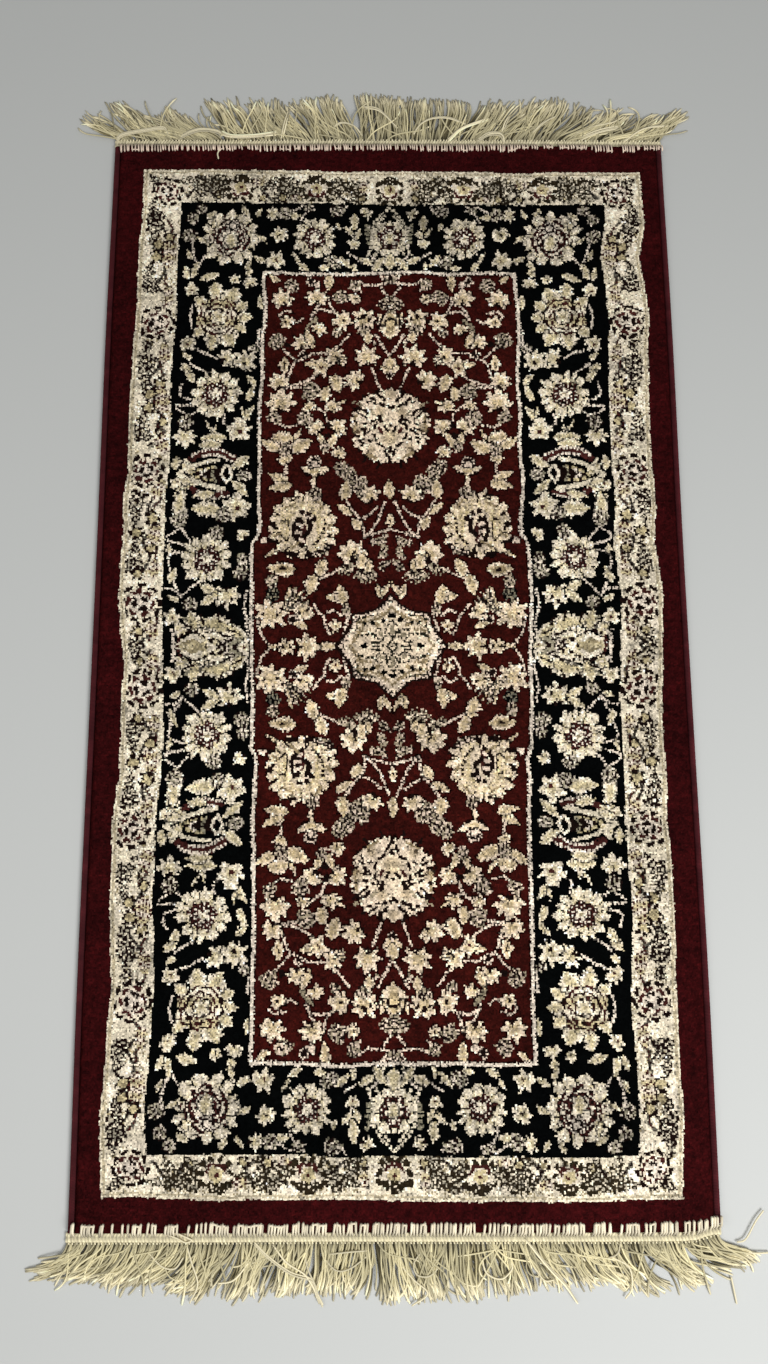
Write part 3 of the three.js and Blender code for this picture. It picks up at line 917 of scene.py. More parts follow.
def edge_line(axis, limit):
    """An edge of the cloth as a function of the place along it, from the outline's points past a limit."""
    kept = outline[outline[:, axis] * np.sign(limit) > abs(limit)]
    kept = kept[np.argsort(kept[:, 1 - axis])]
    return lambda place: np.interp(place, kept[:, 1 - axis], kept[:, axis])


left_edge, right_edge = edge_line(0, -289), edge_line(0, 288)
near_edge, far_edge = edge_line(1, -546), edge_line(1, 546)


def end_edge(side, x):
    return near_edge(x) if side < 0 else far_edge(x)


def side_edge(side, y):
    return left_edge(y) if side < 0 else right_edge(y)


def between(first, second, place, share):
    return first(place) + (second(place) - first(place)) * share


def cloth_grid(columns, rows):
    """Even shares across and along the cloth, with the places that they stand for."""
    s, t = np.meshgrid(np.linspace(0, 1, columns), np.linspace(0, 1, rows))
    y = -HALF_LENGTH + 2 * HALF_LENGTH * t
    x = between(left_edge, right_edge, y, s)
    return s, x, between(near_edge, far_edge, x, t)


# How far the pattern's outer edge lies from the long axis, as the cloth was woven and stretched
GUARD_EDGE = [
    # y, left, right
    (-515, 268, 264), (-455, 272, 268), (-340, 267, 266), (-260, 270, 269), (-180, 272, 267),
    (-100, 266, 267), (-20, 268, 269), (45, 274, 274), (99, 271, 267), (138, 273, 271),
    (178, 269, 268), (255, 271, 270), (297, 270, 272), (336, 268, 275), (376, 267, 272),
    (415, 267, 267), (455, 266, 275), (515, 266, 272),
]
PATTERN_MIDDLE = -8.0
NEAR_SHRINK = 1.022
# how far the pattern strays: in a long wave at the ends, in waves of two sizes, and from knot to knot
END_WAVER = 2.5
STRETCHES = [(38, 0.9), (4.2, 0.35)]
KNOT_SHIFT = 0.2


def pattern_colour(x, y):
    """The tuft colours at places on the cloth, in millimetres."""
    ys, lefts, rights = np.array(GUARD_EDGE, float).T
    reach = np.where(x < 0, np.interp(y, ys, lefts), np.interp(y, ys, rights))
    across = x * (1 + (GUARD[0] / reach - 1) * smooth(0, 150, np.abs(x)))
    along = y - PATTERN_MIDDLE + END_WAVER * np.sin(x / 190 + 0.6) * smooth(300, 500, np.abs(y))
    along = np.where(along < 0, along * NEAR_SHRINK, along)
    for seed, (size, shift) in enumerate(STRETCHES, 1):
        across = across + soft_noise(x, y, size, shift, seed)
        along = along + soft_noise(x, y, size, shift, seed + len(STRETCHES))
    across = across + random.normal(0, KNOT_SHIFT, x.shape)
    along = along + random.normal(0, KNOT_SHIFT, x.shape)
    column = np.clip((np.abs(across) / CELL).astype(int), 0, paint.shape[1] - 1)
    row = np.clip((np.abs(along) / CELL).astype(int), 0, paint.shape[0] - 1)
    return paint[row, column]


def to_linear(tone):
    tone = np.clip(tone, 0, 1)
    return np.where(tone <= 0.04045, tone / 12.92, ((tone + 0.055) / 1.055) ** 2.4)


# Mesh building
def put_in_scene(made):
    bpy.context.scene.collection.objects.link(made)
    return made


def make_object(name, points, faces, tones, material):
    """A mesh object from points in millimetres, with a colour for each point or each quad."""
    mesh = bpy.data.meshes.new(name)
    mesh.from_pydata(np.asarray(points) * MM, [], faces)
    by_point = len(tones) == len(points)
    attribute = mesh.color_attributes.new("tint", "FLOAT_COLOR", "POINT" if by_point else "CORNER")
    tones = to_linear(tones if by_point else np.repeat(tones, 4, 0))
    rgba = np.concatenate([tones, np.ones((len(tones), 1))], 1)
    attribute.data.foreach_set("color", rgba.ravel())
    mesh.polygons.foreach_set("use_smooth", [True] * len(mesh.polygons))
    mesh.materials.append(material)
    return put_in_scene(bpy.data.objects.new(name, mesh))


def grid_faces(rows, columns, closed=False):
    """Quads of a grid of points. closed joins the last column to the first."""
    row, column = np.meshgrid(np.arange(rows - 1), np.arange(columns - (not closed)), indexing="ij")
    across = (column + 1) % columns
    corners = [(row, column), (row, across), (row + 1, across), (row + 1, column)]
    return np.stack([up * columns + along for up, along in corners], -1).reshape(-1, 4)


def tubes(paths, radii, sides):
    """Round strands. paths is strands x steps x 3, radii is strands x steps."""
    strands, steps = paths.shape[:2]
    ahead = np.gradient(paths, axis=1)
    ahead /= np.linalg.norm(ahead, axis=2, keepdims=True) + 1e-9
    across = np.cross(ahead, [0.0, 0.0, 1.0])
    across /= np.linalg.norm(across, axis=2, keepdims=True) + 1e-9
    upward = np.cross(across, ahead)
    angles = (TURN * np.arange(sides) / sides)[:, None]
    around = np.cos(angles) * across[:, :, None] + np.sin(angles) * upward[:, :, None]
    points = paths[:, :, None] + radii[:, :, None, None] * around
    each = steps * sides
    side_faces = grid_faces(steps, sides, closed=True)
    quads = np.concatenate([side_faces + strand * each for strand in range(strands)]).tolist()
    ends = np.arange(sides)[::-1], np.arange(sides) + each - sides
    caps = [(end + strand * each).tolist() for strand in range(strands) for end in ends]
    return points.reshape(-1, 3), quads + caps


class Heap:
    """Strands and strips that are gathered into one mesh."""

    def __init__(self):
        self.points, self.faces, self.tones, self.count = [], [], [], 0

    def add(self, points, faces, tones):
        self.points.append(points)
        self.faces.extend([index + self.count for index in face] for face in faces)
        self.tones.append(np.broadcast_to(tones, points.shape))
        self.count += len(points)

    def add_tubes(self, paths, radii, tones, sides=5):
        """tones is strands x 3 or strands x steps x 3."""
        paths, tones = np.asarray(paths, float), np.asarray(tones, float)
        radii = np.broadcast_to(radii, paths.shape[:2])
        if tones.ndim == 2:
            tones = np.repeat(tones[:, None], paths.shape[1], 1)
        points, faces = tubes(paths, radii, sides)
        self.add(points, faces, np.repeat(tones.reshape(-1, 3), sides, 0))

    def make(self, name, material):
        points, tones = np.concatenate(self.points), np.concatenate(self.tones)
        return make_object(name, points, self.faces, tones, material)


# Materials
def new_material(name):
    material = bpy.data.materials.new(name)
    material.use_nodes = True
    return material, material.node_tree.nodes["Principled BSDF"]


def set_inputs(node, values):
    for socket, value in values.items():
        node.inputs[socket].default_value = value


def fibre_material(name, roughness, noise_scale, bump, spread=0.3, sheen=0.0, shine=0.0):
    """A matt textile: the tint attribute, broken up by fine fibre noise that also raises it."""
    material, shader = new_material(name)
    tree = material.node_tree
    kinds = ("Attribute", "TexCoord", "TexNoise", "MapRange", "Mix", "Bump")
    tint, place, fibres, shade, tone, relief = (tree.nodes.new("ShaderNode" + kind) for kind in kinds)
    tint.attribute_name = "tint"
    tone.data_type = "RGBA"
    tone.blend_type = "MULTIPLY"
    set_inputs(shader, {"Roughness": roughness, "Specular IOR Level": shine})
    set_inputs(shader, {"Sheen Weight": sheen, "Sheen Roughness": 0.5})
    set_inputs(fibres, {"Scale": noise_scale, "Detail": 3})
    set_inputs(shade, {"From Min": 0.25, "From Max": 0.75, "To Min": 1 - spread, "To Max": 1 + spread})
    set_inputs(tone, {"Factor": 1})
    set_inputs(relief, {"Distance": bump * MM, "Strength": 1})
    for source, output, target, socket in (
        (place, "Object", fibres, "Vector"),
        (fibres, "Fac", shade, "Value"),
        (tint, "Color", tone, "A"),
        (shade, "Result", tone, "B"),
        (tone, "Result", shader, "Base Color"),
        (fibres, "Fac", relief, "Height"),
        (relief, "Normal", shader, "Normal"),
    ):
        tree.links.new(source.outputs[output], target.inputs[socket])
    return material


pile_material = fibre_material("cut_pile", 0.95, 900, 0.5)
backing_material = fibre_material("woven_backing", 0.95, 700, 0.4)
binding_material = fibre_material("binding_thread", 0.8, 900, 0.15, spread=0.2, shine=0.05)
yarn_material = fibre_material("fringe_yarn", 0.8, 1500, 0.15, spread=0.15, sheen=0.05, shine=0.1)


# Pile: three lengthwise strips of one height field, a tuft at every point
PILE_STRIPS = ("pile_left", "pile_middle", "pile_right")
STRIP_COLUMNS = 131
COLUMNS = len(PILE_STRIPS) * STRIP_COLUMNS
ROWS = 734
PILE_FOOT = BACKING_TOP - 1.2
RIM_WIDTH = 3
# how far tufts stray sideways and in height, and how much higher the pale ones stand
TUFT_SHIFT = 0.22
TUFT_LIFT = 0.28
PALE_LIFT = 0.5
# how much brightness differs from tuft to tuft, and how many of the pale ones are dark and how dark
TUFT_SHADES = 0.12
DEEP_SHARE = 0.045
DEEP_SHADE = 0.55


def pile_field():
    """The pile's points, and a tone for each square between them."""
    s, x, y = cloth_grid(COLUMNS + 1, ROWS)
    x = between(left_edge, right_edge, y, s)
    from_rim = np.minimum.reduce([x - left_edge(y), right_edge(y) - x, y - near_edge(x), far_edge(x) - y])
    light = pattern_colour(x, y).mean(2)
    inside = smooth(0, RIM_WIDTH, from_rim)
    x = x + random.normal(0, TUFT_SHIFT, x.shape) * inside
    y = y + random.normal(0, TUFT_SHIFT, x.shape) * inside
    z = RIM_Z + (PILE_TOP - RIM_Z) * smooth(-0.6, RIM_WIDTH, from_rim)
    uneven = random.normal(0, TUFT_LIFT, x.shape)
    uneven = uneven + soft_noise(x, y, 3.2, 0.22, 5) + soft_noise(x, y, 24, 0.12, 6)
    z = z + inside * uneven + inside * PALE_LIFT * (smooth(0.05, 0.6, light) - 0.4)
    # One more ring of points turns down to the backing.
    points = np.pad(np.stack([x, y, z], -1), ((1, 1), (1, 1), (0, 0)), mode="edge")
    points[[0, -1], :, 2] = PILE_FOOT
    points[:, [0, -1], 2] = PILE_FOOT
    middles = (points[:-1, :-1] + points[:-1, 1:] + points[1:, :-1] + points[1:, 1:]) / 4
    x, y = middles[..., 0], middles[..., 1]
    tones = pattern_colour(x, y)
    return points, tones * pile_shading(x, y, tones.mean(2))[..., None]


def pile_shading(x, y, light):
    """Brightness from tuft to tuft at random, and painted shade over brushed patches and where the ends'
    borders lean away.
    """
    shade = 1 + random.normal(0, TUFT_SHADES, x.shape) + soft_noise(x, y, 4, 0.08, 8)
    # painted shade and sheen of the leaning pile: brushed patches, streaks on the plain band, the ends'
    # borders
    shade = shade + soft_noise(x, y * 1.6, 45, 0.06, 9)
    shade = shade + np.where(light < 0.12, soft_noise(x * 0.4, y, 2.0, 0.09, 10), 0)
    shade = shade - 0.09 * smooth(50, 25, np.abs(np.abs(y) - 450)) * smooth(240, 215, np.abs(x))
    deep = (random.random(x.shape) < DEEP_SHARE) & (light > 0.3)
    return np.where(deep, DEEP_SHADE, 1) * np.clip(shade, 0.5, 1.5)


def bake_uv(mesh, rows, columns):
    """Folds a long strip into two columns, so that its map keeps an even resolution."""
    layer = mesh.uv_layers.new(name="OFBake")
    loops = np.empty(len(mesh.loops), int)
    mesh.loops.foreach_get("vertex_index", loops)
    row, column = loops // columns, loops % columns
    face_row = np.repeat(row.reshape(-1, 4).min(1), 4)
    half = (rows - 1) / 2
    fold = (face_row >= half).astype(float)
    u = (0.01 + 0.98 * column / (columns - 1) + fold) / 2
    v = 0.005 + 0.99 * (row - fold * half) / half
    layer.data.foreach_set("uv", np.stack([u, v], -1).ravel())


def make_pile():
    points, tones = pile_field()
    splits = [0, STRIP_COLUMNS + 1, 2 * STRIP_COLUMNS + 1, COLUMNS + 2]
    strips = []
    for name, first, last in zip(PILE_STRIPS, splits, splits[1:]):
        strip = points[:, first : last + 1]
        rows, columns = strip.shape[:2]
        quad_tones = tones[:, first:last].reshape(-1, 3)
        made = make_object(name, strip.reshape(-1, 3), grid_faces(rows, columns), quad_tones, pile_material)
        bake_uv(made.data, rows, columns)
        strips.append(made)
    return strips


# Backing: a closed slab with woven ribs underneath
JUTE = colour(168, 152, 118)
BACKING_GRID = (185, 41)
RIB_HEIGHT = 0.15
SEAM = 0.3


def make_backing():
    rows, columns = BACKING_GRID
    _, x, y = cloth_grid(columns, rows)
    x = np.clip(x, left_edge(y) + SEAM, right_edge(y) - SEAM)
    y = np.clip(y, near_edge(x) + SEAM, far_edge(x) - SEAM)
    top = np.stack([x, y, np.full(x.shape, BACKING_TOP)], -1).reshape(-1, 3)
    below = np.stack([x, y, RIB_HEIGHT * (np.indices(x.shape)[0] % 2)], -1).reshape(-1, 3)
    faces = grid_faces(rows, columns)
    count = rows * columns
    border = np.concatenate([
        np.arange(columns - 1),
        np.arange(columns - 1, count - 1, columns),
        np.arange(count - 1, count - columns, -1),
        np.arange(count - columns, 0, -columns),
    ])
    after = np.roll(border, -1)
    rim = np.stack([after, border, border + count, after + count], -1)
    tone = np.tile(JUTE, (2 * count, 1))
    tone[count:] = 0.6 * JUTE + 0.4 * pattern_colour(x, y).reshape(-1, 3)
    tone *= random.normal(1, 0.05, (2 * count, 1))
    all_faces = np.concatenate([faces, faces[:, ::-1] + count, rim])
    return make_object("backing", np.concatenate([top, below]), all_faces, tone, backing_material)


# Bindings: thread wrapped round the long sides, so each is a row of fine ribs
BINDING_TONE = colour(78, 30, 34)
RIB_PITCH = 1.3
RIB_SWELL = 0.42
RIB_SIDES = 9
RIB_WRAP = (-0.22 * math.pi, 1.22 * math.pi)
# the angle round the wrap where a painted highlight runs along the binding
LIT_THREAD = 0.36 * math.pi


def make_binding(name, side):
    ys = points_of(name)[:, 1]
    near, far = ys.min() + 0.1, ys.max() - 0.1
    rows = 2 * int((far - near) / RIB_PITCH) + 1
    furrow = np.arange(rows) % 2 == 0
    y = np.linspace(near, far, rows)
    middle = side_edge(side, y) + side * (GAP + BINDING_WIDTH / 2)
    swell = (np.where(furrow, 0.0, RIB_SWELL) + random.normal(0, 0.07, rows))[:, None]
    angles = np.linspace(*RIB_WRAP, RIB_SIDES)
    half_wide = BINDING_WIDTH / 2 - 0.35 + swell * 0.6
    half_high = BINDING_HEIGHT / 2 - 0.4 + swell
    x = middle[:, None] + side * np.cos(angles) * half_wide
    z = np.maximum(BINDING_HEIGHT / 2 + np.sin(angles) * half_high, 0.05)
    slant = 0.5 * np.cos(angles) * side
    points = np.stack([x, y[:, None] + slant, z], -1)
    # Painted shade darkens the furrows between the ribs, and a painted highlight lightens the thread at
    # LIT_THREAD.
    shade = np.where(furrow, 0.55, 1.0) * (1 + soft_noise(y, y * 0, 6, 0.08, 11))
    tone = BINDING_TONE * shade[:, None, None] * np.ones(points.shape)
    tone[:, np.abs(angles - LIT_THREAD) < 0.2] *= 1.25
    faces = grid_faces(rows, RIB_SIDES, closed=True)
    if side > 0:
        faces = faces[:, ::-1]
    last = (rows - 1) * RIB_SIDES
    ends = [list(range(RIB_SIDES)), list(range(last, last + RIB_SIDES))[::-1]]
    faces = faces.tolist() + ends
    points, tone = points.reshape(-1, 3), tone.reshape(-1, 3)
    return make_object(name + "_thread", points, faces, tone, binding_material)


# Fringes
YARNS_PER_END = 900
YARN_ENDS = (-298, 297)
STRAY_SHARE = 0.09
SHORT_SHARE = 0.08
ROOT_PITCH = 4.2
YARN_STEPS = 12
YARN_SIDES = 4
YARN_RADII = (0.7, 1.0)
LEAN_WAVES = [(0.13, 130, 1), (0.03, 57, 2)]  # angle, length, phases
STEEPEST_LEAN = 1.4
# heights: where the yarns leave the tape, where the lowest lie, and how much higher the highest arch
ROOT_HEIGHT = 1.4
LOWEST_HEIGHT = 0.8
ARCH_HEIGHT = 3.2
# Yarns lean outwards: the angle at the corners, how quickly it grows, and how much of it shows
# at the root, a third and two thirds of the way and at the tip
FRINGES = {
    "near": {"side": -1, "length": 47, "phase": 0.6, "clump": 14, "closing": 0.25,
             "lean": (1.0, 1.0), "bend": (0.1, 0.75, 1.25, 1.3)},
    "far": {"side": 1, "length": 55, "phase": 2.6, "clump": 19, "closing": 0.6,
            "lean": (1.1, 0.7), "bend": (0.5, 1.15, 1.1, 0.6)},
}
CURL = 0.5
YARN_TONE = colour(188, 179, 144)
# how much of its red, green and blue the lowest yarn loses in its painted shade
LOW_YARN_SHADE_TINT = np.array([0.0, 0.04, 0.17])
TIP_TONE = colour(227, 217, 184)
TAPE_TONE = colour(228, 217, 180)
STITCH_TONE = {"near": colour(226, 215, 189), "far": colour(220, 200, 180)}


def lean_at(x, phase, corner, growth):
    lean = np.sign(x) * corner * (np.abs(x) / 300) ** growth
    for angle, length, phases in LEAN_WAVES:
        lean = lean + angle * np.sin(TURN * x / length + phases * phase)
    return lean


def clumps(x, width):
    """For each yarn the middle of its clump and the clump's own random number from -1 to 1."""
    edges = [-300.0]
    while edges[-1] < 300:
        edges.append(edges[-1] + width * random.uniform(0.5, 1.5))
    index = np.searchsorted(edges, x) - 1
    middles = np.array(edges[:-1]) + np.diff(edges) / 2
    return middles[index], random.uniform(-1, 1, len(edges))[index]


def yarn_paths(side, length, phase, clump, closing, lean, bend):
    """Loose yarns from the tape outwards, in clumps that close towards their tips, with some strays."""
    count = YARNS_PER_END
    first, last = YARN_ENDS
    x = np.linspace(first + 1, last - 1, count) + random.normal(0, 0.4, count)
    x = np.sort(np.clip(x, first, last))
    middle, character = clumps(x, clump)
    stray = random.random(count) < STRAY_SHARE
    together = np.where(stray, 0, (middle - x) / length * closing * random.uniform(0.7, 1.3, count))
    leaning = lean_at(x, phase, *lean) + 0.14 * character + together + random.normal(0, 0.1, count)
    leaning = leaning + np.where(stray, random.normal(0, 0.6, count), 0)
    leaning = np.clip(leaning, -STEEPEST_LEAN, STEEPEST_LEAN)[:, None]
    swing = 0.6 * np.sin(9 * character) + random.normal(0, 0.45, count) * np.where(stray, 2.5, 1)
    reach = length + 3 * np.sin(TURN * x / 195 + phase) + random.normal(0, 2.6, count) + 2.5 * character
    short = random.random(count) < SHORT_SHARE
    reach = reach + 2.0 - np.where(short, random.uniform(6, 22, count), 0)
    layer = np.where(stray, 1.0, random.random(count))
    share = np.linspace(0, 1, YARN_STEPS)
    shown = np.interp(share, np.linspace(0, 1, len(bend)), bend)
    angle = leaning * shown + CURL * swing[:, None] * np.sin(4.4 * share) * share**0.5
    angle = angle + 0.08 * np.sin(9 * share + 40 * layer[:, None])
    angle = np.clip(angle, -STEEPEST_LEAN, STEEPEST_LEAN)
    step = (reach / (YARN_STEPS - 1))[:, None]
    dx, dy = np.sin(angle) * step, side * np.cos(angle) * step
    root_y = end_edge(side, x) + side * (GAP + TAPE_WIDTH - 2)
    # The upper yarns leave the tape in small groups, with dark slits between them.
    groups = (np.round(x / ROOT_PITCH) * ROOT_PITCH - x) * 0.55 * smooth(0.3, 0.5, layer)
    x = x[:, None] + np.cumsum(dx, 1) - dx[:, :1] + groups[:, None] * smooth(0.35, 0, share)
    y = root_y[:, None] + np.cumsum(dy, 1) - dy[:, :1]
    arch = np.sin(math.pi * np.clip(share * 0.9 + 0.1, 0, 1)) ** 0.7
    lift = LOWEST_HEIGHT + ARCH_HEIGHT * layer[:, None] * arch
    return np.stack([x, y, np.where(share < 0.04, ROOT_HEIGHT, lift)], -1), layer


def add_yarns(heap, shape):
    paths, layer = yarn_paths(**shape)
    count = len(paths)
    share = np.linspace(0, 1, YARN_STEPS)
    radii = random.uniform(*YARN_RADII, count)[:, None] * (1 + 0.25 * smooth(0.8, 1, share))
    radii = radii * np.where(share > 0.99, 0.65, 1)
    paths[..., 2] = np.maximum(paths[..., 2], radii)
    tones = blend(YARN_TONE, TIP_TONE, smooth(0.6, 1, share))
    # Painted shade: yarns that lie below the others are darker and warmer, except near their tips.
    above = smooth(0.1, 0.7, layer)[:, None]
    deep = (1 - above) * smooth(0.95, 0.45, share)
    brightness = random.normal(1, 0.11, count)[:, None] * (1.04 - 0.2 * (1 - above) - 0.44 * deep)
    # Painted shade at the roots, where the yarns leave the tape; least on the upper yarns.
    root = 0.5 + 0.35 * layer[:, None]
    brightness = brightness * (root + (1 - root) * smooth(0, 0.25, share))
    tones = tones * brightness[..., None] * (1 - deep[..., None] * LOW_YARN_SHADE_TINT)
    heap.add_tubes(paths, radii, tones, sides=YARN_SIDES)


# The tape's section from the cloth outwards: shares of its width and height, how much of its
# height the stitches take, how far they slant and how bright it is (painted shade: darker where lower)
TAPE_SECTION = [
    (0, 0, 0, 0, 0.8), (0, 0.6, 0, 0, 0.8), (0.08, 0.85, 0.5, -0.6, 0.95), (0.2, 1, 1, 0, 1),
    (0.32, 0.9, 0.6, 0.6, 0.92), (0.5, 0.8, 0.3, 1.2, 0.8), (0.66, 0.9, 0.6, 0.6, 0.92), (0.82, 1, 1, 0, 1),
    (0.93, 0.9, 0.6, -0.6, 0.95), (1, 0.7, 0.2, -1.2, 0.75), (1, 0, 0, 0, 0.7),
]
TAPE_STATIONS = np.arange(-299.5, 298.6, 0.8)
CHAIN_PITCH = 3.2


def add_tape(heap, side, tone):
    """The header tape: two rows of chain stitch, modelled as rows of small rounded bumps."""
    out, ridge, rows, slope, shade = np.array(TAPE_SECTION).T
    stations = TAPE_STATIONS[:, None]
    stitch = np.abs(np.sin(math.pi * stations / CHAIN_PITCH + slope))
    stitch = stitch + random.normal(0, 0.12, stations.shape)
    z = ridge * TAPE_HEIGHT + rows * 0.9 * (stitch - 0.5)
    y = end_edge(side, stations) + side * (GAP + out * TAPE_WIDTH)
    points = np.stack([np.broadcast_to(stations, y.shape), y, z], -1)
    # Painted light and shade: the tops of the stitch bumps are lighter, the low parts of the tape darker.
    tones = tone * (shade * (0.77 + 0.3 * stitch))[..., None]
    tones = tones * random.normal(1, 0.05, (len(stations), 1, 1))
    faces = grid_faces(*y.shape, closed=True)
    ends = [list(range(len(out)))[::-1], list(range(y.size - len(out), y.size))]
    if side < 0:
        faces, ends = faces[:, ::-1], [end[::-1] for end in ends]
    heap.add(points.reshape(-1, 3), faces.tolist() + ends, tones.reshape(-1, 3))


# the gaps between whip stitches: the x of their middles, by width
STITCH_GAPS = {
    "near": {
        2: (-228, -150, -96, -22, 46, 110, 141, 178),
        3: (-288, -271, -261, -222, -213, -186, -178, -118, -60, 12, 174, 206, 236, 273),
        4: (-252, -245, 200, 224, 259),
        5: (-192, 77),
    },
    "far": {
        2: (-241, -160, -88, 3, 38, 104, 136),
        3: (-278, -205, -131, -40, 70, 152, 164, 219),
        5: (182, 275),
        9: (247,),
    },
}
# Thickest where a stitch enters the pile, so that neighbours meet there with dark slots below
STITCH_RADII = {"near": (0.9, 1.3, 1.05, 0.9, 0.85, 0.85), "far": (0.65, 0.9, 0.75, 0.75, 0.7, 0.7)}
STITCH_REACH = {"near": (7.2, 9.6), "far": (4.8, 8.4)}
# painted shade: each stitch darkens along its route down from the pile to the tape
STITCH_LOW_SHADE = (1.04, 1.04, 0.96, 0.88, 0.82, 0.8)
STITCH_ENDS = (-296.5, 295)
STITCH_STEP = (2.2, 3.1)
# how often a stitch is missing, and how often the next ones reach another distance in
STITCH_LOSS = 0.12
STITCH_CHANGE = 0.16
STITCH_BARS = {"near": 0.5, "far": 0.3}
BAR_LENGTH = 4.2


def in_gap(name, x):
    return any(abs(x - middle) < width / 2 for width, xs in STITCH_GAPS[name].items() for middle in xs)


def add_whip_stitches(heap, name, side, tone):
    """Short threads that hold the tape, over the edge of the pile, in uneven groups."""
    x, last = STITCH_ENDS
    group = STITCH_REACH[name][1]
    paths, tones = [], []
    while x < last:
        x += random.uniform(*STITCH_STEP)
        if random.random() < STITCH_LOSS:
            x += random.uniform(0.8, 2.2)
        if in_gap(name, x):
            continue
        edge = float(end_edge(side, x))
        if random.random() < STITCH_CHANGE:
            group = random.uniform(*STITCH_REACH[name])
        inwards = group + random.uniform(-0.9, 0.9)
        slant = random.normal(0.9, 0.8)
        # how much of the slant shows, the distance out from the cloth's edge, and the height
        route = [
            (1, -inwards, 8.0), (1, 0.9 - inwards, 9.5), (0.6, -1.6, 9.6),
            (0.3, 0.8, 7.2), (0, 2.2, 4.8), (0, 4.2, 3.0),
        ]
        paths.append([(x + share * slant, edge + side * out, z) for share, out, z in route])
        # each stitch darkens down its route to the tape: painted shade
        tones.append(tone * random.normal(1, 0.07) * np.array(STITCH_LOW_SHADE)[:, None])
    heap.add_tubes(paths, STITCH_RADII[name], tones)
    # Here and there the thread runs on from one stitch to the next along the pile.
    bars = [(first[1], second[1]) for first, second in zip(paths, paths[1:])
            if second[1][0] - first[1][0] < BAR_LENGTH and random.random() < STITCH_BARS[name]]
    bars = [[start, np.add(start, stop) / 2 + (0, 0, 0.3), stop] for start, stop in bars]
    heap.add_tubes(bars, STITCH_RADII[name][1] * 0.75, [tone * 1.02] * len(bars))


DOT_PITCH = 3.3


def add_root_dots(heap, side, tone):
    """Where each group of yarns passes under the tape's last thread, a small pale knot."""
    x = np.arange(-296, 296, DOT_PITCH)
    x = x + random.normal(0, 0.25, len(x))
    y = end_edge(side, x) + side * (GAP + TAPE_WIDTH + 0.4)
    along = np.array([-1.0, 0.0, 1.0])
    paths = np.stack([x[:, None] + 0.3 * along, y[:, None] + side * along, np.full((len(x), 3), 2.6)], -1)
    heap.add_tubes(paths, (0.5, 0.85, 0.5), np.outer(random.normal(1, 0.08, len(x)), tone))


LOOSE_RADIUS = 0.8
LOOSE_THREADS = {
    "near": [
        [(312, -563, 2), (320, -560, 3), (330, -545, 3), (338, -536, 2.5)],
        [(318, -571, 2), (328, -572, 3), (341, -572, 2)],
        [(-208, -553, 4), (-200, -551, 6), (-190, -555, 5), (-184, -558, 4)],
        [(-208, -553, 4), (-198, -556, 5), (-190, -560, 4), (-184, -558, 4)],
        [(305, -592, 2), (307, -604, 2), (309, -615, 1)],
    ],
    "far": [
        [(-184, 544, 9), (-186, 538, 9.6), (-185, 532, 9.6)],
        [(205, 567, 3), (225, 575, 4), (246, 580, 4), (259, 588, 3)],
    ],
}
# Yarns that lie across the others: how many side by side, then x and the distance out from the tape
CROSSING_YARNS = {
    "near": [
        (2, [(-128, 0), (-115, 12), (-95, 25), (-76, 31), (-71, 42), (-65, 53)]),
        (2, [(-110, 2), (-97, 16), (-80, 26), (-72, 38), (-68, 50)]),
        (1, [(-82, 10), (-78, 24), (-72, 36), (-68, 52)]),
        (1, [(-65, 14), (-52, 24), (-39, 22), (-26, 12)]),
        (1, [(-61, 10), (-44, 8), (-26, 7)]), (1, [(24, 9), (17, 19), (20, 28), (31, 29), (40, 22)]),
        (1, [(5, 20), (16, 31), (28, 42), (14, 53)]),
        (1, [(79, 12), (83, 25), (96, 30), (106, 22), (105, 14)]), (1, [(126, 20), (135, 31), (144, 32)]),
        (2, [(120, -3), (139, 18), (154, 33), (166, 51)]), (1, [(204, 1), (200, 10), (192, 14)]),
        (1, [(196, 12), (211, 20), (213, 37), (208, 47)]),
        (1, [(-190, 2), (-184, 16), (-178, 34), (-186, 50)]),
        (1, [(-224, 8), (-212, 18), (-200, 20), (-192, 12)]), (1, [(-160, 34), (-146, 30), (-132, 16)]),
    ],
    "far": [
        (4, [(-298, 0), (-292, 6), (-268, 11), (-248, 14), (-241, 7)]),
        (4, [(-229, 4), (-218, 9), (-205, 12), (-188, 10), (-183, 6)]),
        (5, [(-183, 10), (-172, 4), (-150, 4), (-123, 9)]), (3, [(-117, 4), (-114, 19), (-110, 37)]),
        (2, [(-30, 6), (-38, 16), (-52, 20), (-63, 15)]), (3, [(-28, 40), (-11, 35), (8, 15)]),
        (2, [(28, 8), (36, 19), (49, 26), (67, 27), (86, 20)]),
        (4, [(65, 0), (76, 11), (89, 18), (109, 26)]),
        (5, [(98, 0), (109, 6), (122, 6), (127, 0)]), (2, [(125, 10), (128, 19), (133, 30)]),
        (2, [(157, 9), (169, 20), (184, 30)]), (3, [(209, 3), (231, 11), (255, 18)]),
        (2, [(258, 0), (280, 14), (309, 19)]),
    ],
}
CROSSING_FOOT = 2.6
CROSSING_RISE = 2.2


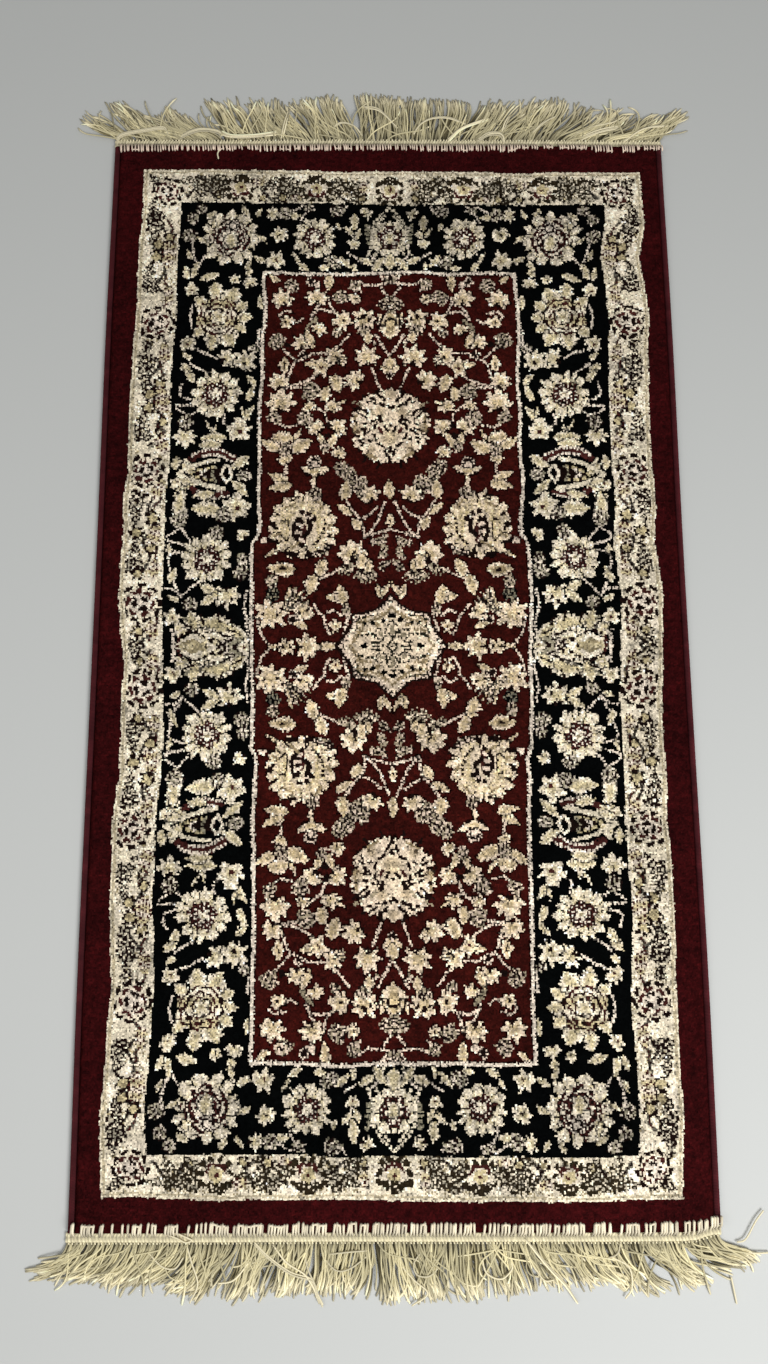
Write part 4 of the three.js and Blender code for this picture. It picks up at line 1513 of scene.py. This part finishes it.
def add_crossing_yarns(heap, name, side, tone):
    for count, points in CROSSING_YARNS[name]:
        path = smooth_curve(points)
        arch = np.sin(np.linspace(0, math.pi, len(path)))
        for strand in range(count):
            x = path[:, 0] + random.normal(0, 0.9) + 1.2 * random.normal() * arch
            out = path[:, 1] + 1.15 * (strand - (count - 1) / 2)
            out = out + random.normal(0, 0.3) + 0.7 * random.normal() * arch
            y = end_edge(side, x) + side * (GAP + TAPE_WIDTH + out)
            z = CROSSING_FOOT + (CROSSING_RISE + random.uniform(0, 0.8)) * arch
            heap.add_tubes([np.stack([x, y, z], -1)], LOOSE_RADIUS, [tone * random.normal(0.97, 0.09)])


def make_fringe(name):
    shape = FRINGES[name]
    side = shape["side"]
    heap = Heap()
    add_tape(heap, side, TAPE_TONE)
    add_root_dots(heap, side, TIP_TONE)
    add_yarns(heap, shape)
    add_crossing_yarns(heap, name, side, TIP_TONE)
    add_whip_stitches(heap, name, side, STITCH_TONE[name])
    for points in LOOSE_THREADS[name]:
        heap.add_tubes([smooth_curve(points)], LOOSE_RADIUS, [TIP_TONE])
    return heap.make("fringe_" + name + "_yarn", yarn_material)


pile = make_pile()
backing = make_backing()
bindings = [make_binding("binding_left", -1), make_binding("binding_right", 1)]
fringes = [make_fringe("near"), make_fringe("far")]

for piece in pile + [backing] + bindings + fringes:
    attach(piece, "root")
for piece in pile + [backing]:
    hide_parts("rug_body")
for piece, node in zip(bindings + fringes, ["binding_left", "binding_right", "fringe_near", "fringe_far"]):
    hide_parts(node)


# Floor, lights and the photograph's viewing angle
FLOOR_SIZE = 8
FLOOR_DROP = 0.0002
ROOM_LIGHT = 0.34
CAMERA_PLACE = (-0.01246, -0.21717, 1.00827)
CAMERA_TURNS = [(-0.027, "Z"), (0.1711, "X"), (0.0233, "Z")]
CAMERA_LENS = 27.03


def make_floor():
    bpy.ops.mesh.primitive_plane_add(size=FLOOR_SIZE, location=(0, 0, -FLOOR_DROP))
    floor = bpy.context.object
    floor.name = "floor"
    material, shader = new_material("pale_floor")
    set_inputs(shader, {"Base Color": (0.5, 0.51, 0.495, 1), "Roughness": 0.7})
    floor.data.materials.append(material)


def add_area_light(name, place, target, size, power):
    light = bpy.data.lights.new(name, "AREA")
    light.shape = "DISK"
    light.size = size
    light.energy = power
    made = put_in_scene(bpy.data.objects.new(name, light))
    made.location = place
    made.rotation_euler = (Vector(target) - Vector(place)).to_track_quat("-Z", "Y").to_euler()


def add_camera():
    data = bpy.data.cameras.new("camera")
    data.lens = CAMERA_LENS
    data.sensor_width = 36
    data.clip_start = 0.01
    camera = put_in_scene(bpy.data.objects.new("camera", data))
    placed = Matrix.Translation(CAMERA_PLACE)
    for angle, axis in CAMERA_TURNS:
        placed = placed @ Matrix.Rotation(angle, 4, axis)
    camera.matrix_world = placed
    bpy.context.scene.camera = camera


def light_the_room():
    scene = bpy.context.scene
    scene.view_settings.view_transform = "Standard"
    scene.world = bpy.data.worlds.new("room")
    scene.world.use_nodes = True
    set_inputs(scene.world.node_tree.nodes["Background"], {"Color": (1, 1, 1, 1), "Strength": ROOM_LIGHT})
    add_area_light("key", (0.95, -1.15, 1.6), (0.05, -0.15, 0), 1.0, 38)
    add_area_light("fill", (-1.0, -0.4, 1.6), (0, 0, 0), 1.4, 9)


make_floor()
light_the_room()
add_camera()
